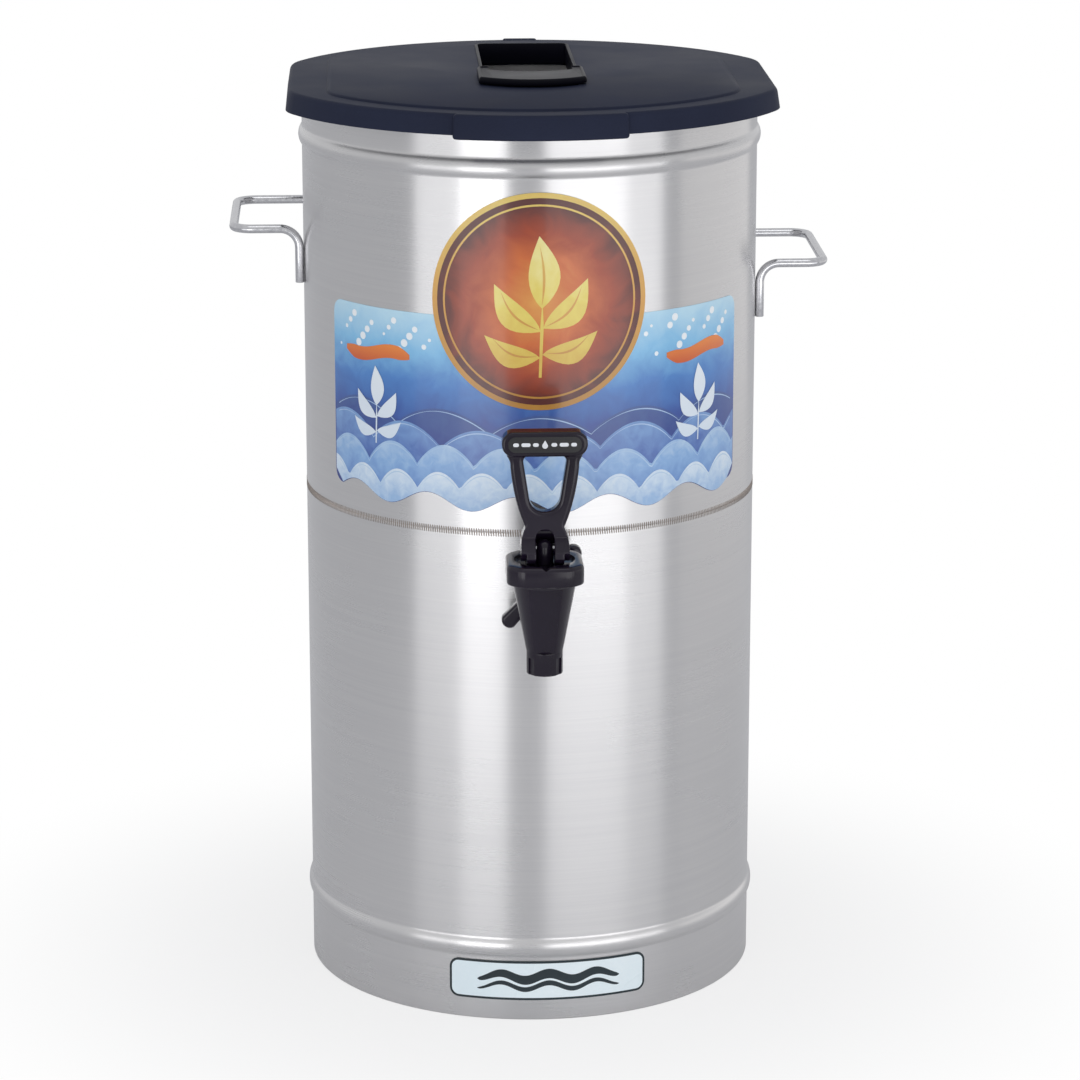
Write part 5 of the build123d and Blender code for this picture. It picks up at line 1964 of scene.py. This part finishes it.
@dataclass
class Nameplate(WrapPrint):
    """Painted plate on the skirt with a dark outline and two plain dark waves."""

    arc_length: float = 126.0
    height: float = 25.7
    low: float = 13.4
    corner: float = 6.0
    turn: float = 2.3
    border: float = 1.5
    wave_length: float = 90.0

    @property
    def middle(self) -> float:
        """Height of the plate's middle."""
        return self.low + self.height / 2

    def sheet(self, name: str, inset: float, gap: float, thickness: float) -> Obj:
        """Build one layer of the plate.

        Args:
            name: The piece's name.
            inset: How far its edge lies inside the plate's.
            gap: Distance of its back from the wall.
            thickness: Its thickness.

        Returns:
            The layer.
        """
        outline = rounded_box(self.arc_length - 2 * inset, self.height - 2 * inset, self.corner - inset, 6)
        return self.wrapped(name, [[(x, z + self.middle) for x, z in outline]], gap, thickness, self.turn)

    def wave(self, rise: float, half: float) -> Points:
        """Outline of a waved stroke that thins towards its ends.

        Args:
            rise: Its height over the plate's middle.
            half: Half its greatest thickness.

        Returns:
            The outline.
        """
        xs = [self.wave_length * (i / 60 - 0.5) for i in range(61)]
        line = [(x, self.middle + rise + 2.2 * math.cos(math.tau * x / 30)) for x in xs]
        return self.stroke(line, [half * max(0.0, 1 - (2 * x / self.wave_length) ** 2) ** 0.4 + 0.15 for x in xs])

    def build(self) -> None:
        """Make the dark plate, its pale face and the waves on it."""
        waves = [self.wave(2.6, 3.0), self.wave(-3.6, 1.5)]
        for obj, material, replaced in (
            (self.sheet("plate_edge", 0.0, 0.15, 0.36), PLATE_DARK, "nameplate"),
            (self.sheet("plate_face", self.border, 0.45, 0.12), PLATE_PALE, ""),
            (self.wrapped("plate_waves", waves, 0.6, 0.05, self.turn), PLATE_DARK, ""),
        ):
            finish(obj, Body.TANK, material, replaced)


# Studio, in metres


@dataclass(frozen=True)
class Softbox:
    """Soft rectangular lamp that faces the object's axis at its own height."""

    name: str
    azimuth: float
    distance: float
    width: float
    power: float
    height: float = 0.45
    middle_z: float = 0.22
    colour: tuple[float, float, float] = (1.0, 1.0, 1.0)

    def light(self) -> None:
        """Stand the lamp, its azimuth in degrees from the front towards +X."""
        deselect()
        turn = math.radians(self.azimuth)
        place = Vector((math.sin(turn) * self.distance, -math.cos(turn) * self.distance, self.middle_z))
        bpy.ops.object.light_add(type="AREA", location=place)
        lamp = bpy.context.active_object
        lamp.name = self.name
        lamp.data.shape = "RECTANGLE"
        lamp.data.size, lamp.data.size_y = self.width, self.height
        lamp.data.energy, lamp.data.color = self.power, self.colour
        lamp.visible_camera = False
        aim = Vector((0, 0, self.middle_z)) - place
        lamp.rotation_euler = aim.to_track_quat("-Z", "Y").to_euler()


@dataclass
class Studio:
    """Pale floor, five upright soft lamps and one overhead, a plain world and the camera."""

    floor_colour: str = "#f1f1f2"
    floor_near: float = 0.13
    floor_far: float = 0.45
    floor_lift: float = 0.72
    sky: tuple[float, float, float, float] = (0.95, 0.965, 1.0, 1.0)
    sky_strength: float = 0.56
    mirrored_white: float = 0.35
    camera_turn: float = -2.5
    camera_distance: float = 2.5
    camera_height: float = 0.94
    camera_tilt: float = 14.95
    camera_pan: float = -0.15
    lens: float = 134.5
    lamps: tuple[Softbox, ...] = (
        Softbox("light_left_wide", azimuth=-36.0, distance=1.3, width=1.12, power=1.55),
        Softbox("light_left_inner", azimuth=-24.5, distance=1.28, width=0.5, power=0.95),
        Softbox("light_right_wide", azimuth=35.0, distance=1.3, width=1.5, power=2.3),
        Softbox("light_right_inner", azimuth=25.0, distance=1.28, width=0.92, power=1.0),
        Softbox("light_side", azimuth=108.0, distance=1.6, width=2.0, power=1.0, colour=(1.0, 0.96, 0.9)),
        Softbox("light_top", azimuth=0.0, distance=0.6, width=1.4, power=9.0, height=1.4, middle_z=2.2),
    )

    def floor(self) -> None:
        """Lay the floor, which fades to white away from the object for the camera alone."""
        deselect()
        bpy.ops.mesh.primitive_plane_add(size=14)
        obj = bpy.context.active_object
        obj.name = "floor"
        with editing(obj, Part.FACE):
            bpy.ops.mesh.subdivide(number_cuts=3)
        material, tree, shader, place = new_material("studio_floor")
        feed(tree, shader, {"Base Color": linear(self.floor_colour), "Roughness": 0.9, "Specular IOR Level": 0.1})
        away = node(tree, "VectorMath", links={0: place}, operation="LENGTH")
        share = node(tree, "MapRange", {"From Min": self.floor_near, "From Max": self.floor_far},
                     {"Value": away.outputs["Value"]}, interpolation_type="SMOOTHSTEP")
        lifted = node(tree, "MapRange", {"To Min": self.floor_lift, "To Max": 1.0}, {"Value": share})
        camera_ray = node(tree, "LightPath").outputs["Is Camera Ray"]
        seen = node(tree, "Math", links={0: camera_ray, 1: lifted}, operation="MULTIPLY")
        white = node(tree, "Emission", {"Color": (1, 1, 1, 1), "Strength": 1.0})
        mix = node(tree, "MixShader", links={0: seen, 1: shader, 2: white})
        feed(tree, tree.nodes["Material Output"], links={"Surface": mix})
        obj.data.materials.append(material)

    def world(self) -> None:
        """Light the object from all round and show the camera a white background."""
        world = bpy.data.worlds.new("studio")
        world.use_nodes = True
        tree = world.node_tree
        tree.nodes.clear()
        rays = node(tree, "LightPath").outputs
        soft = node(tree, "Background", {"Color": self.sky, "Strength": self.sky_strength})
        white = node(tree, "Background", {"Color": (1, 1, 1, 1), "Strength": 1.0})
        mirror = node(tree, "Math", links={0: rays["Is Glossy Ray"], 1: rays["Is Transmission Ray"]},
                      operation="MAXIMUM")
        partly = node(tree, "Math", {1: self.mirrored_white}, {0: mirror}, operation="MULTIPLY")
        seen = node(tree, "Math", links={0: rays["Is Camera Ray"], 1: partly}, operation="MAXIMUM")
        mix = node(tree, "MixShader", links={0: seen, 1: soft, 2: white})
        node(tree, "OutputWorld", links={"Surface": mix})
        bpy.context.scene.world = world

    def camera(self) -> None:
        """Stand the camera where the photograph was taken from."""
        turn = math.radians(self.camera_turn)
        place = (math.sin(turn) * self.camera_distance, -math.cos(turn) * self.camera_distance, self.camera_height)
        aim = (math.radians(90 - self.camera_tilt), 0, math.radians(self.camera_turn + self.camera_pan))
        bpy.ops.object.camera_add(location=place, rotation=aim)
        camera = bpy.context.active_object
        camera.data.lens = self.lens
        camera.data.sensor_width = 36.0
        bpy.context.scene.camera = camera

    def build(self) -> None:
        """Set the whole studio up."""
        self.floor()
        self.world()
        for lamp in self.lamps:
            lamp.light()
        self.camera()
        bpy.context.scene.view_settings.view_transform = "Standard"


def main() -> None:
    """Build the dispenser piece by piece, then the studio."""
    logging.basicConfig(level=logging.INFO, format="%(name)s %(message)s")
    lid = Lid()
    for assembly in (
        Tank(), Handle("handle_right", 1, 454.0), Handle("handle_left", -1, 478.5), lid, BrewInsert(lid),
        Faucet(), WingNut(), Lever(), FrontPrint(), Nameplate(), Studio(),
    ):
        assembly.build()


if __name__ == "__main__":
    main()
